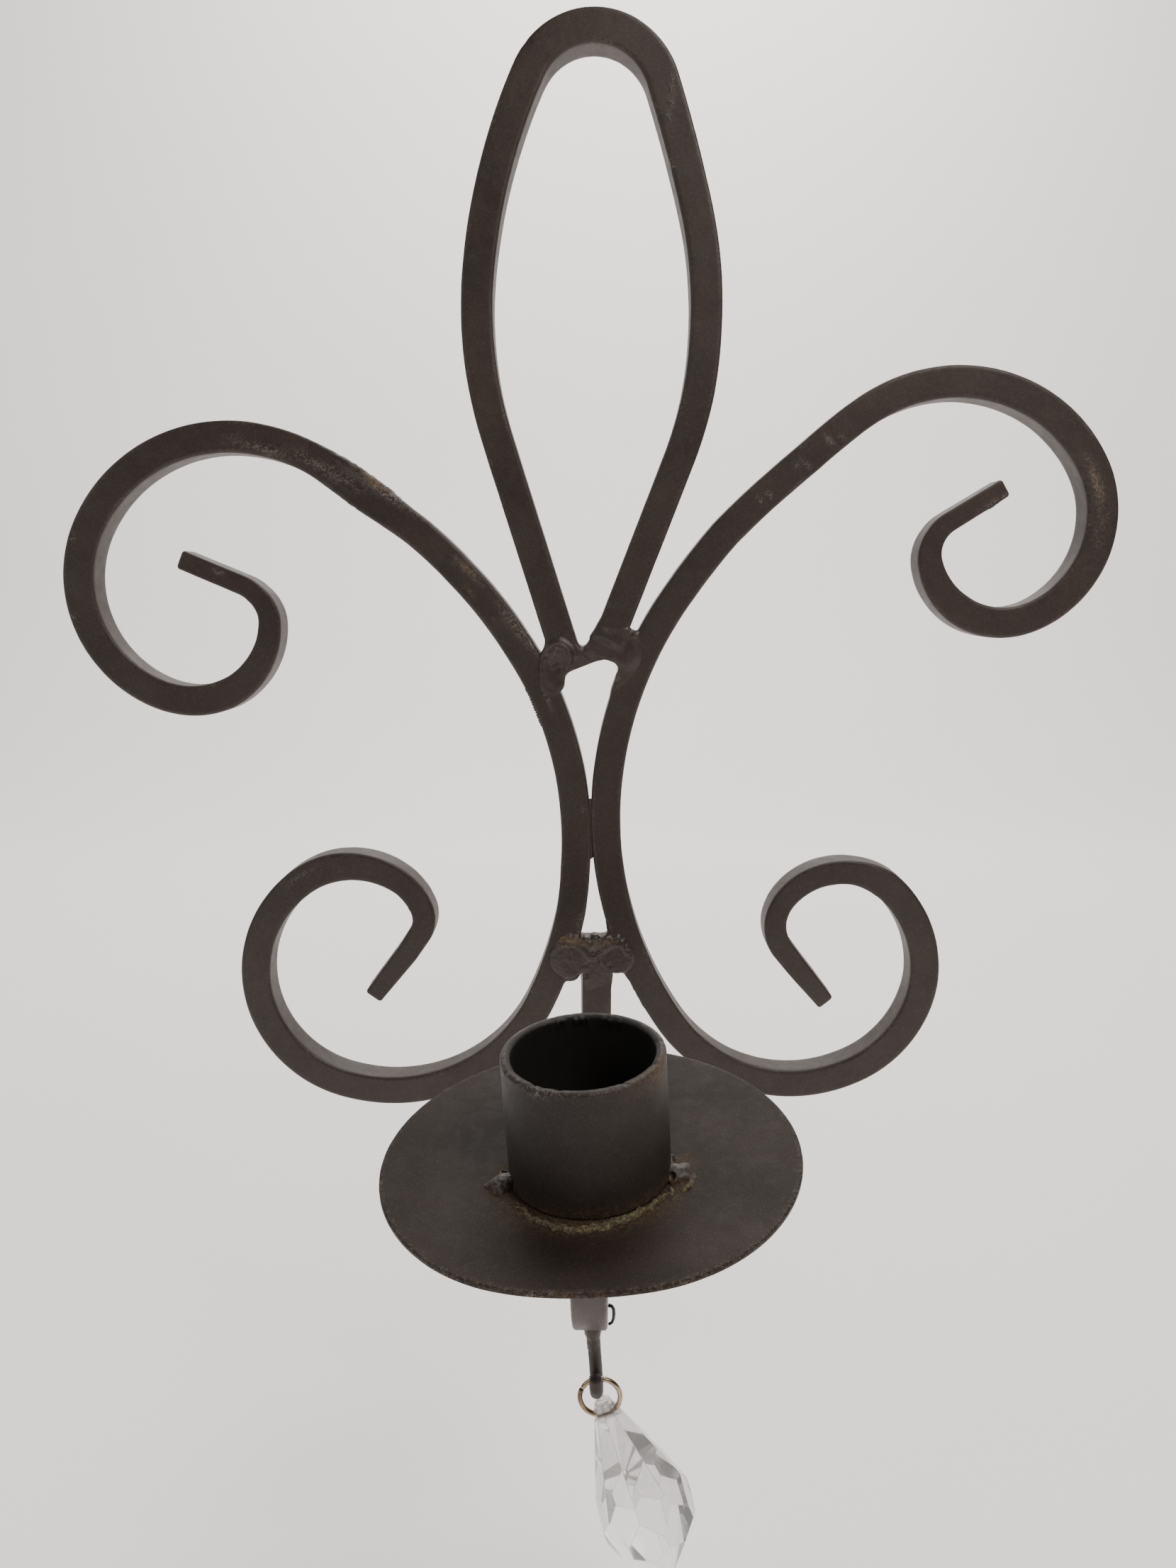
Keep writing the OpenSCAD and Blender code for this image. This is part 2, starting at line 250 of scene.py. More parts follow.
def forged_bar(name, bar, material, widths=None, twists=None, shifts=None, flaws=(), wear_and_highlight=(),
               rust=(), place=None, seed=0.0):
    """A square bar swept along its bends. widths, twists and shifts are profiles along
    it: [(length, value), ...]. flaws are bumps, wear and rust are spots, each
    (length, across, reach along, reach across, amount), on the front and the edges."""
    stations = walk(bar)
    outline = bar_outline()
    length = stations[:, 3:4]
    total = length[-1, 0]

    def profile(rows, default):
        return np.interp(length, *zip(*rows)) if rows else np.full_like(length, default)

    squeeze = profile(widths, BAR_W) / BAR_W
    twist = np.radians(profile(twists, 0.0))
    normal_across, normal_out = outline[None, :, 2], outline[None, :, 3]
    # The ends are dressed with a file: their edges draw in over the last bit
    near_end = np.minimum(length, total - length)
    drawn_in = 1 - END_DRAWN_IN * np.clip(1 - near_end / END_FILED, 0, 1) ** 2
    across = outline[None, :, 0] * squeeze * drawn_in
    out = outline[None, :, 1] * drawn_in
    turned_across = across * np.cos(twist) - out * np.sin(twist) + profile(shifts, 0.0)
    turned_out = across * np.sin(twist) + out * np.cos(twist)
    heading = np.radians(stations[:, 2:3])
    left = np.stack([-np.sin(heading), 0 * heading, np.cos(heading)], -1)
    forward = np.array((0, -1.0, 0))

    middle = np.stack([stations[:, 0:1], np.full_like(length, -HALF), stations[:, 1:2]], -1)
    points = middle + left * turned_across[..., None] + forward * turned_out[..., None]
    normals = (
        left * (normal_across * np.cos(twist) - normal_out * np.sin(twist))[..., None]
        + forward * (normal_across * np.sin(twist) + normal_out * np.cos(twist))[..., None]
    )
    points, normals = points.reshape(-1, 3), normals.reshape(-1, 3)

    def per_point(values):
        return np.broadcast_to(values, (len(stations), len(outline))).ravel()

    along, flat_across, edge = per_point(length), per_point(across), per_point(outline[:, 4])
    facing = per_point(np.clip(0.6 + outline[:, 1] / HALF, 0, 1))

    def spots(rows):
        found = np.zeros(len(points))
        for s, a, reach, width, amount in rows:
            found += amount * bell(along - s, reach) * bell(flat_across - a, width)
        return found * facing

    coarse, fine = lumps(points, 9.0, seed + 1.7), lumps(points, 1.6, seed + 5.1)
    ridges = bell(lumps(points, 2.6, seed + 3.3), 0.13)
    rise = 0.05 * coarse + 0.02 * fine - 0.05 + spots(flaws) * (1 + 0.5 * fine)
    rise += 0.16 * ridges * np.clip(spots(wear_and_highlight), 0, 1)
    rise *= np.clip(np.minimum(along, total - along) / 1.5, 0.2, 1)
    points = points + normals * rise[:, None]
    marks = {
        "wear_and_highlight": spots(wear_and_highlight) + edge * np.clip(0.06 + 0.22 * coarse, 0, 1),
        "rust": spots(rust),
    }
    if place:
        points = place(points)
    faces = skin(len(stations), len(outline))
    make_piece(name, points, faces, material, "frame", [name], marks)


def in_arm_plane(points):
    """Turns what lies in the wall plane into the arm's plane, square to the wall."""
    x, y, z = points[:, 1] + HALF, -points[:, 0], points[:, 2]
    c, s = math.cos(ARM_YAW), math.sin(ARM_YAW)
    return np.stack([x * c - y * s, x * s + y * c, z], -1)


# ---- Weld metal ----

def grid(low, high, cell):
    """Sample positions x, y, z over a box, as arrays that broadcast together."""
    spans = [np.arange(a, b + cell, cell) for a, b in zip(low, high)]
    return np.meshgrid(*spans, indexing="ij", sparse=True)


def blend(a, b, size):
    """Union of two distance fields with a fillet of about that size."""
    mix = np.clip(0.5 + 0.5 * (b - a) / size, 0, 1)
    return b + (a - b) * mix - size * mix * (1 - mix)


def union(fields, size):
    """One field for a list of them, each blended into those before it."""
    return functools.reduce(lambda one, other: blend(one, other, size), fields)


def rounded(across, out, radius):
    """Distance to a rounded corner, from the distances past the two inner faces."""
    outside = np.hypot(np.maximum(across, 0), np.maximum(out, 0))
    return outside + np.minimum(np.maximum(across, out), 0) - radius


def bar_field(at, bar):
    """Distance to a bar in the wall plane at the sample positions."""
    x, y, z = at
    stations = walk(bar)
    margin = 8
    near = stations[
        (stations[:, 0] > x.min() - margin) & (stations[:, 0] < x.max() + margin)
        & (stations[:, 1] > z.min() - margin) & (stations[:, 1] < z.max() + margin)
    ]
    flat_x, flat_z = np.broadcast_arrays(x[:, 0, :], z[:, 0, :])
    dx = flat_x[..., None] - near[:, 0]
    dz = flat_z[..., None] - near[:, 1]
    nearest = np.argmin(dx ** 2 + dz ** 2, -1)
    dx = np.take_along_axis(dx, nearest[..., None], -1)[..., 0]
    dz = np.take_along_axis(dz, nearest[..., None], -1)[..., 0]
    heading = np.radians(near[nearest, 2])
    across = np.abs(dz * np.cos(heading) - dx * np.sin(heading))
    past_end = np.abs(dz * np.sin(heading) + dx * np.cos(heading)) - 0.6
    inner = HALF - EDGE_R
    beyond = np.maximum(across - inner, past_end + EDGE_R)[:, None, :]
    return rounded(beyond, np.abs(y + HALF) - inner, EDGE_R)


def slab_field(at, off, radius, front, back, edge=0.8):
    """Distance to a slab of metal parallel to the wall, from the distance off its middle."""
    middle, half = (front + back) / 2, abs(front - back) / 2
    return rounded(off - (radius - edge), np.abs(at[1] - middle) - (half - edge), edge)


def disc_field(at, x, z, radius, front, edge):
    """Distance to a flat disc of metal that faces the front."""
    return slab_field(at, np.hypot(at[0] - x, at[2] - z), radius, front, -1.0, edge)


def rod_field(at, start, end, radius):
    """Distance to a round-ended rod between two points."""
    start, way = np.array(start, float), np.subtract(end, start)
    part = sum((at[k] - start[k]) * way[k] for k in range(3)) / (way @ way)
    part = np.clip(part, 0, 1)
    return np.sqrt(sum((at[k] - start[k] - part * way[k]) ** 2 for k in range(3))) - radius


def web_field(at, start, end, radius, front=-8.6):
    """Distance to a web of metal between bars: a slab with a round-ended outline."""
    (x0, z0), (x1, z1) = start, end
    way_x, way_z = x1 - x0, z1 - z0
    part = ((at[0] - x0) * way_x + (at[2] - z0) * way_z) / (way_x ** 2 + way_z ** 2)
    part = np.clip(part, 0, 1)
    off = np.hypot(at[0] - x0 - part * way_x, at[2] - z0 - part * way_z)
    return slab_field(at, off, radius, front, -1.2)


def surface(field, low, cell):
    """Points and faces of a field's zero surface by surface nets; it is negative inside."""
    inside = field < 0
    size = np.array(field.shape) - 1
    count = np.zeros(size, int)
    for i, j, k in itertools.product((0, 1), repeat=3):
        count += inside[i:size[0] + i, j:size[1] + j, k:size[2] + k]
    mixed = (count > 0) & (count < 8)
    number = np.full(mixed.shape, -1)
    number[mixed] = np.arange(mixed.sum())
    cells = np.argwhere(mixed)
    sums, hits = np.zeros((len(cells), 3)), np.zeros((len(cells), 1))
    faces = []
    for axis in range(3):
        step = np.eye(3, dtype=int)[axis]
        one, two = (axis + 1) % 3, (axis + 2) % 3
        for a, b in itertools.product((0, 1), repeat=2):
            start = cells.copy()
            start[:, one] += a
            start[:, two] += b
            f0, f1 = field[tuple(start.T)], field[tuple((start + step).T)]
            crosses = ((f0 < 0) != (f1 < 0))[:, None]
            part = np.where(crosses[:, 0], f0 / np.where(f0 == f1, 1, f0 - f1), 0)[:, None]
            sums += np.where(crosses, start + step * part, 0)
            hits += crosses
        lower = inside[tuple(slice(0, -1) if k == axis else slice(None) for k in range(3))]
        upper = inside[tuple(slice(1, None) if k == axis else slice(None) for k in range(3))]
        for change, order in ((lower & ~upper, (0, 1, 2, 3)), (~lower & upper, (3, 2, 1, 0))):
            edges = np.argwhere(change)
            keep = (edges[:, one] > 0) & (edges[:, two] > 0)
            keep &= (edges[:, one] < size[one]) & (edges[:, two] < size[two])
            edges = edges[keep]
            quad = []
            for a, b in ((-1, -1), (0, -1), (0, 0), (-1, 0)):
                cell_at = edges.copy()
                cell_at[:, one] += a
                cell_at[:, two] += b
                quad.append(number[tuple(cell_at.T)])
            faces.append(np.stack([quad[k] for k in order], -1))
    return np.array(low) + cell * sums / hits, np.concatenate(faces)


def vertex_normals(points, faces):
    a, b, c, d = (points[faces[:, k]] for k in range(4))
    face_normals = np.cross(c - a, d - b)
    normals = np.zeros_like(points)
    for k in range(4):
        np.add.at(normals, faces[:, k], face_normals)
    return normals / np.maximum(np.linalg.norm(normals, axis=1, keepdims=True), 1e-9)


def cast_piece(name, field, low, cell, material, replaced, rough=0.05, grain=1.4, seed=0.0,
               fine=0.4, marks=None, place=None):
    """A piece of weld metal from its field, its surface roughened a little and, by the part
    called fine, more finely. marks are rules that give numbers from the points, before
    place moves them."""
    points, faces = surface(field, low, cell)
    normals = vertex_normals(points, faces)
    rise = rough * lumps(points, grain, seed)
    rise += fine * rough * lumps(points, grain / 3, seed + 9)
    points = points + normals * rise[:, None]
    found = {key: rule(points) for key, rule in (marks or {}).items()}
    if place:
        points = place(points)
    make_piece(name, points, faces, material, "frame", replaced, found)


def box_field(at, low, high):
    """Distance past a box's faces, which clips a field."""
    beyond = [np.maximum(low[k] - at[k], at[k] - high[k]) for k in range(3)]
    return np.maximum(np.maximum(beyond[0], beyond[1]), beyond[2])


def cover(reach, inner, outer, proud=0.16, sunk=-0.4):
    """How far weld metal stands over the bars: proud near the joint, sunk at its border."""
    part = np.clip((reach - inner) / (outer - inner), 0, 1)
    part = part * part * (3 - 2 * part)
    return proud + (sunk - proud) * part


def relief_at(at, arcs, spots):
    """Height of marks on the front. An arc is [x, z, radius, first bearing, last bearing,
    width, height] and a spot is [x, z, size, height]; bearings are in degrees."""
    x, z = at[0], at[2]
    height = 0 * (x + z)
    for cx, cz, radius, first, last, width, rise in arcs:
        bearing = np.degrees(np.arctan2(z - cz, x - cx))
        past_end = off_bearing(bearing, (first + last) / 2) - (last - first) / 2
        fade = bell(np.maximum(past_end, 0), 14)
        height = height + rise * fade * bell(np.hypot(x - cx, z - cz) - radius, width)
    for cx, cz, size, rise in spots:
        height = height + rise * bell(np.hypot(x - cx, z - cz), size)
    return height * (at[1] < -6)


def spot_on(points, x, z, size):
    """1 at a place on the front, fading to 0 away from it."""
    return bell(np.hypot(points[:, 0] - x, points[:, 2] - z), size)


def scrolls_field(at):
    """Distance to the two scrolls, joined where they touch."""
    return blend(bar_field(at, LEFT), bar_field(at, RIGHT), 0.4)


def top_weld(material):
    """The welds that join the loop's legs to the scrolls and to each other."""
    low, high, cell = (-24, -11.8, -196), (22, -0.2, -157), 0.32
    at = grid(low, high, cell)
    bars = blend(scrolls_field(at), bar_field(at, LOOP), 0.6)
    metal = union([
        web_field(at, (-13.0, -172.0), (-13.8, -180.4), 3.6, front=-9.7),
        web_field(at, (-11.5, -175.0), (-0.5, -170.7), 2.7),
        web_field(at, (1.5, -168.6), (8.5, -170.8), 3.9, front=-9.1),
        web_field(at, (9.6, -166.6), (9.0, -171.5), 3.2, front=-9.2),
    ], 2.0)
    # A disc of weld metal stands over the left weld, lower at its foot
    cap_front = -9.4 - 1.1 * np.clip((at[2] + 176.5) / 5.5, 0, 1)
    metal = blend(metal, disc_field(at, -12.5, -172.3, 4.7, cap_front, 0.5), 0.6)
    arcs = [
        (-12.5, -172.5, 4.5, -15, 165, 0.4, 0.35), (-12.5, -172.3, 3.4, 10, 95, 0.35, 0.25),
        (-12.0, -176.3, 1.5, -30, 150, 0.4, 0.55), (-14.6, -175.6, 3.0, 110, 200, 0.35, 0.4),
        (-14.2, -186.2, 0.9, 60, 300, 0.3, 0.4), (-14.0, -188.6, 0.7, 60, 360, 0.3, 0.4),
    ]
    spots = [
        (-12.3, -174.8, 1.6, -0.45), (-13.0, -170.3, 1.5, 0.3), (-11.2, -181.0, 1.0, 0.35),
        (6.3, -178.2, 0.9, 0.4), (11.3, -165.2, 1.6, 0.25), (3.2, -171.5, 3.0, -0.2),
        (-2.6, -170.2, 1.2, 0.25),
    ]
    reach = np.hypot((at[0] + 1.5) / 1.35, at[2] + 173.0)
    field = blend(bars, metal, 2.4) - relief_at(at, arcs, spots) - cover(reach, 9.5, 14.5)
    field = np.maximum(field, box_field(at, (-22.5, -11.4, -194), (20.5, -0.35, -158.5)))

    # Pale marks on the weld: painted highlights on the two bumps at the right, and a pale patch on the
    # disc's proudest front
    def worn_and_highlit(p):
        cap = 0.45 * spot_on(p, -13.4, -170.4, 2.2) * (p[:, 1] < -9.9)
        return cap + 0.5 * spot_on(p, 11.3, -165.2, 1.6) + 0.5 * spot_on(p, 6.3, -178.4, 1.0)

    cast_piece(
        "top_weld", field, low, cell, material,
        ["weld_loop_left", "weld_loop_right", "weld_loop_bridge"], rough=0.05, grain=1.8,
        seed=3.0, marks={"wear_and_highlight": worn_and_highlit},
    )


def arm_top_field(at):
    """Distance to the arm's upright leg, turned a little to the left."""
    turn = -math.radians(ARM_TWIST[0][1])
    c, s = math.cos(turn), math.sin(turn)
    across = at[0] * c + (at[1] + HALF) * s
    out = (at[1] + HALF) * c - at[0] * s
    inner = HALF - EDGE_R
    beyond = np.maximum(np.abs(across) - inner, at[2] - ARM["start"][1] + EDGE_R)
    return rounded(beyond, np.abs(out) - inner, EDGE_R)


def arm_weld(material):
    """The welds round the arm's top end, ground flat in front, with a lumpy crown."""
    low, high, cell = (-25, -12.0, -289), (24, -0.2, -255), 0.32
    at = grid(low, high, cell)
    bars = blend(scrolls_field(at), arm_top_field(at), 0.6)
    metal = union([
        web_field(at, (-9.4, -268.5), (-9.0, -274.3), 3.7),
        web_field(at, (6.9, -266.5), (7.2, -270.8), 3.2),
        web_field(at, (-4.5, -266.0), (4.8, -265.8), 2.6),
    ], 1.5)
    metal = blend(metal, disc_field(at, -9.2, -270.0, 6.0, -10.15, 0.6), 0.6)
    metal = blend(metal, disc_field(at, 6.9, -269.0, 5.4, -9.95, 0.6), 0.8)
    # Lumps along the crown: [x, z, radius]
    crown = [
        (-12.6, -264.6, 0.9), (-11.0, -263.4, 1.1), (-9.2, -262.6, 1.2), (-7.2, -262.9, 1.3),
        (-5.4, -264.2, 1.1), (-3.8, -263.6, 1.2), (-2.2, -264.6, 1.4), (-0.6, -262.9, 1.3),
        (1.2, -264.2, 1.5), (3.0, -262.9, 1.2), (4.6, -264.0, 1.5), (6.4, -262.9, 1.1),
        (8.0, -263.9, 0.9), (9.2, -265.6, 0.7), (-13.9, -266.3, 0.7),
    ]
    metal = union([metal] + [
        rod_field(at, (x, -6.5, z), (x + 0.3, -10.4 + radius, z), radius) for x, z, radius in crown
    ], 0.7)
    # A thin ridge along the discs' upper edges
    ridge = [(-14.8, -267.8), (-11.8, -264.7), (-7.2, -264.7), (-4.6, -266.3), (-2.6, -268.8),
             (-0.4, -268.9), (2.6, -266.6), (4.9, -264.8), (8.2, -264.7), (9.8, -267.7)]
    metal = union([metal] + [
        rod_field(at, (x0, -9.9, z0), (x1, -9.9, z1), 0.45)
        for (x0, z0), (x1, z1) in itertools.pairwise(ridge)
    ], 0.5)
    spots = [
        (-1.6, -267.0, 1.8, 0.3), (-9.4, -271.6, 2.2, -0.12), (-3.0, -276.2, 0.7, 0.4),
        (-3.4, -271.5, 0.6, -0.3), (4.4, -271.6, 0.6, -0.35), (1.4, -269.4, 1.2, -0.25),
    ]
    reach = np.hypot((at[0] + 1.0) / 1.25, at[2] + 269.0)
    field = blend(bars, metal, 1.2) - relief_at(at, [], spots) - cover(reach, 8.0, 13.5)
    field = np.maximum(field, box_field(at, (-23.5, -11.6, -287), (22.5, -0.35, -257)))
    # Rust along the crown: [x, z, reach, amount]
    crown_rust = [(-9.6, -262.8, 3.4, 0.9), (-5.0, -263.8, 2.0, 0.5), (3.5, -263.6, 2.6, 0.55),
                  (-1.0, -264.0, 2.0, 0.35)]

    def rusty(p):
        return sum(amount * bell(p[:, 0] - x, size) * bell(p[:, 2] - z, 1.3)
                   for x, z, size, amount in crown_rust)

    # Pale marks: the slanting band across the middle of the crown is a painted highlight; a paler spot
    # lies at its left end
    def worn_and_highlit(p):
        slant = bell(p[:, 2] + 266.4 - 0.3 * p[:, 0], 1.3) * bell(p[:, 0] - 0.6, 3.5)
        return 0.55 * slant + 0.25 * spot_on(p, -10.5, -264.2, 2.5)

    cast_piece(
        "arm_weld", field, low, cell, material,
        ["weld_arm_left", "weld_arm_right", "weld_arm_crown"], rough=0.09, grain=0.9, seed=7.0,
        marks={"wear_and_highlight": worn_and_highlit, "rust": rusty},
    )


def waist_bead(material):
    """The thin uneven bead down the groove where the two scrolls touch."""
    (_, _, bottom), (_, _, top) = node_box("weld_scroll_contact")
    x = sum(node_box("weld_scroll_contact"))[0] / 2
    low, high, cell = (x - 2.2, -10, bottom - 2), (x + 2.2, -5, top + 2), 0.2
    at = grid(low, high, cell)
    rods = [rod_field(at, (x, -7.9, bottom + 1), (x, -7.9, top - 1), 1.15)]
    for i in range(9):
        z = bottom + 1.5 + (top - bottom - 3) * i / 8
        out = -7.7 - 0.35 * math.sin(2.1 * i)
        rods.append(rod_field(at, (x, out, z), (x, out, z + 1.0), 1.0))
    cast_piece(
        "waist_bead", union(rods, 0.5), low, cell, material, ["weld_scroll_contact"],
        rough=0.08, grain=0.8, seed=11.0,
    )


# ---- Pan and cup ----

def on_pan(points):
    """Places points given from the middle of the pan's upper face."""
    points = np.asarray(points)
    return PAN_AT + points[:, :1] * PAN_RIGHT + points[:, 1:2] * PAN_BACK + points[:, 2:3] * PAN_UP


def at_cup(points):
    """Places points given from the middle of the cup's foot."""
    return on_pan(points) + CUP_AT - PAN_AT


def turned(profile, count):
    """Points of a profile [radius, height] turned about the vertical, and each point's
    bearing in degrees."""
    degrees = np.arange(count) * 360 / count
    bearing = np.radians(degrees)[:, None]
    radius, height = (np.array(column)[None, :] for column in zip(*profile))
    points = np.stack([
        radius * np.cos(bearing), radius * np.sin(bearing), height + 0 * bearing,
    ], -1)
    return points.reshape(-1, 3), np.repeat(degrees, len(profile))


def turned_piece(name, points, count, place, material, node, marks=None):
    """A piece of the frame from a turned profile of count steps round."""
    faces = skin(count, len(points) // count, closed=True)
    make_piece(name, place(points), faces, material, "frame", [node], marks)


def drip_pan(material):
    """Sheet disc: its cut edge rounded over, its surface a little uneven."""
    edge, count = 0.45, 240
    radii = [0.02, *np.linspace(4, PAN_R - 1.5, 22)]
    rim = [
        (PAN_R - edge + edge * math.sin(t), -edge + edge * math.cos(t))
        for t in np.radians((0, 22, 45, 67, 90))
    ]
    profile = [(r, 0.0) for r in radii] + rim
    profile += [(r, -PAN_T - z) for r, z in reversed(rim)] + [(r, -PAN_T) for r in reversed(radii)]
    points, bearing = turned(profile, count)
    radius = np.hypot(points[:, 0], points[:, 1])
    plan = points * (1, 1, 0)
    nibble = np.maximum(lumps(plan, 5.0, 21.0) * bell(radius - PAN_R, 1.0), 0)
    points[:, 2] += 0.10 * lumps(plan, 26, 4.0) + 0.03 * lumps(plan, 7, 8.0) - 0.1
    # The front of the disc is cut a little flat
    flatten = PAN_FLAT / PAN_R * bell(off_bearing(bearing, 268), 24) * (radius / PAN_R) ** 2
    points[:, :2] *= 1 - (0.0016 * nibble + 0.0008 + flatten)[:, None]
    near_rim = bell(radius - PAN_R, 0.8)
    front = bell(off_bearing(bearing, 267), 20)
    from_cup = points[:, :2] - ((CUP_AT - PAN_AT) @ PAN_RIGHT, (CUP_AT - PAN_AT) @ PAN_BACK)
    foot = bell(np.hypot(*from_cup.T) - CUP_R - 2.5, 3.0) * (from_cup[:, 1] < 4)
    marks = {
        "wear_and_highlight": 0.3 * near_rim * (1 + (lumps(points, 3.0, 2.0) > 0.35)),
        "rust": 0.3 * near_rim * front * (lumps(points, 2.0, 5.0) > 0) + 0.3 * foot,
    }
    turned_piece(
        "drip_pan_sheet", points, count, on_pan, material, "drip_pan", marks,
    )


def candle_cup(material):
    """Short length of tube: rounded lip with nicks in front and burrs at the back."""
    count, foot = 300, -0.35
    lip = CUP_WALL / 2
    lip_h = 0.8 * lip
    shoulder = CUP_H - lip_h
    bore = [(CUP_BORE_R, h) for h in np.linspace(foot, shoulder, 26)]
    rim = [
        (CUP_R - lip + lip * math.cos(t), shoulder + lip_h * math.sin(t) ** 0.8)
        for t in np.radians(np.linspace(165, 15, 13))
    ]
    profile = bore + rim + [(CUP_R, h) for h in np.linspace(shoulder, foot, 34)]
    points, bearing = turned(profile, count)
    inside = np.tile(np.arange(len(profile)) < len(bore) + len(rim) // 2, count)
    outside = ~inside
    # Height from the lip's top
    level = points[:, 2] - CUP_H
    at_lip = bell(level, 0.9)
    rough = lumps(points, 1.1, 6.0)
    # [bearing, half width, how far the lip's top sinks]
    nicks = [(232, 2.2, 0.5), (240, 5.0, 0.3), (253, 3.0, 0.25), (300, 2.0, 0.3), (205, 3.0, 0.3),
             (335, 2.5, 0.35), (8, 2.0, 0.3)]
    sink = sum(depth * bell(off_bearing(bearing, at), width) for at, width, depth in nicks)
    burr = np.maximum(0, lumps(points * (1, 1, 0.4), 0.9, 14.0)) ** 0.7
    burr *= bell(off_bearing(bearing, 84), 38) * bell(level + 1.0, 1.3)
    dents = 0.10 * lumps(points, 9.0, 3.0) * (points[:, 2] > 1) - 0.06
    grow = np.where(inside, 0.02 - 1.1 * burr, dents)
    marks = {
        "wear_and_highlight": at_lip * (0.22 + 0.35 * rough)
        + 0.5 * bell(off_bearing(bearing, 238), 9) * bell(level + 1, 1.4),
        "rust": 0.55 * bell(off_bearing(bearing, 335), 22) * bell(level + 1.5, 2.6) * outside
        + 0.4 * bell(points[:, 2], 2.5) * outside * (off_bearing(bearing, 275) < 95),
        "inside": inside * 1.0,
    }
    points[:, :2] *= 1 + (grow / np.hypot(points[:, 0], points[:, 1]))[:, None]
    points[:, 2] -= at_lip * (sink + 0.12 * np.maximum(rough, 0) + 0.02)
    turned_piece(
        "candle_cup_tube", points, count, at_cup, material, "candle_cup", marks,
    )


def foot_crust(material):
    """Rusty residue in a broken, uneven arc round the front of the cup's foot."""
    low, high, cell = (-CUP_R - 8, -CUP_R - 8, -1.2), (CUP_R + 9, -2, 2.6), 0.3
    at = grid(low, high, cell)
    # [bearing, distance out from the cup's wall, size of the lump]
    lumps_at = [
        (216, 1.0, 0.5), (222, 1.6, 0.7), (228, 2.0, 0.8), (234, 2.5, 0.7), (240, 2.6, 0.9),
        (246, 2.9, 1.0), (252, 3.1, 0.9), (258, 3.4, 1.1), (264, 3.3, 1.2), (270, 3.0, 1.3),
        (276, 2.5, 1.4), (282, 2.0, 1.3), (288, 1.9, 1.1), (294, 1.5, 1.2), (300, 1.3, 1.0),
        (306, 1.1, 1.1), (312, 1.2, 0.9), (318, 1.0, 1.0), (324, 1.2, 0.8), (330, 2.0, 0.8),
        (337, 4.6, 0.9), (341, 5.2, 0.8), (352, 3.6, 0.6),
    ]
    rods = []
    for i, (bearing, out, size) in enumerate(lumps_at):
        turn = math.radians(bearing)
        away = np.array((math.cos(turn), math.sin(turn), 0))
        along = np.array((-away[1], away[0], 0)) * 1.1 * size
        tilt = away * 0.5 * math.sin(2.4 * i)
        centre = away * (CUP_R + out) - (0, 0, 0.25)
        rods.append(rod_field(at, centre - along + tilt, centre + along - tilt, 0.8 * size))
    field = np.maximum(union(rods, 0.5), -0.9 - at[2])
    cast_piece(
        "foot_crust", field, low, cell, material, [], rough=0.32, grain=0.9, seed=17.0,
        place=at_cup,
    )


def cup_tack(name, bearing, size, material, seed, replaced):
    """A lump of tack weld at the cup's foot, with a burnt hole beside it."""
    low, high, cell = (-6, -7, -1.2), (8, 7, 6), 0.24
    at = grid(low, high, cell)
    # [start, end, radius]
    rods = [
        ((-1.2, 0.4, 0.1), (2.2, 0.8, -0.4), 0.7), ((0.2, -2.2, -0.2), (2.4, 2.6, -0.5), 0.55),
        ((-1.2, 2.0, 0.8), (-1.0, 2.6, 2.4), 0.36), ((2.6, -0.4, -0.4), (4.4, -0.2, -0.8), 0.4),
    ]
    metal = union([rod_field(at, start, end, radius * size) for start, end, radius in rods], 1.2)
    hole = np.sqrt((at[0] + 0.2) ** 2 + (at[1] + 2.4) ** 2 + (at[2] - 1.2) ** 2) - 1.1
    field = np.maximum(np.maximum(metal, -hole), -0.9 - at[2])
    turn = math.radians(bearing)
    out = np.array((math.cos(turn), math.sin(turn)))
    side = np.array((-out[1], out[0]))

    def place(points):
        flat = (CUP_R + 0.6 + points[:, :1]) * out + points[:, 1:2] * side
        return at_cup(np.concatenate([flat, points[:, 2:]], 1))

    marks = {
        "wear_and_highlight": lambda p: 0.7 * bell(np.linalg.norm(p - (0.2, 0.4, 2.2), axis=1), 1.4),
        "rust": lambda p: 0.5 * bell(p[:, 2], 0.8),
    }
    cast_piece(
        name, field, low, cell, material, [replaced], rough=0.14, grain=1.0, seed=seed, fine=0,
        marks=marks, place=place,
    )


def pan_collar(material):
    """The weld round the arm's end, under the pan."""
    rows, count, drop, top_r, hole_r = 12, 72, 2.6, 7.2, 5.0
    points = []
    for turn in np.arange(count) * 2 * math.pi / count:
        ripple = 0.25 * math.sin(9 * turn + 1.2 * math.sin(3 * turn))
        section = [
            (top_r + 1.4 * (1 - part) ** 2 + ripple, -drop * part)
            for part in np.linspace(0, 1, rows)
        ]
        section += [(hole_r, -drop - 0.4), (hole_r, 0.2)]
        points += [(r * math.cos(turn) - 0.4, r * math.sin(turn), h - PAN_T) for r, h in section]
    points = np.array(points)
    points += 0.18 * lumps(points, 1.6, 5.0)[:, None] * (1, 1, 0.3)
    turned_piece(
        "pan_collar", points, count, on_pan, material, "weld_arm_pan",
    )


# ---- Hook, ring and crystal ----

HOOK_R = 1.9
HOOK_BEND = 3.2
HOOK_LEAN = math.radians(-4)


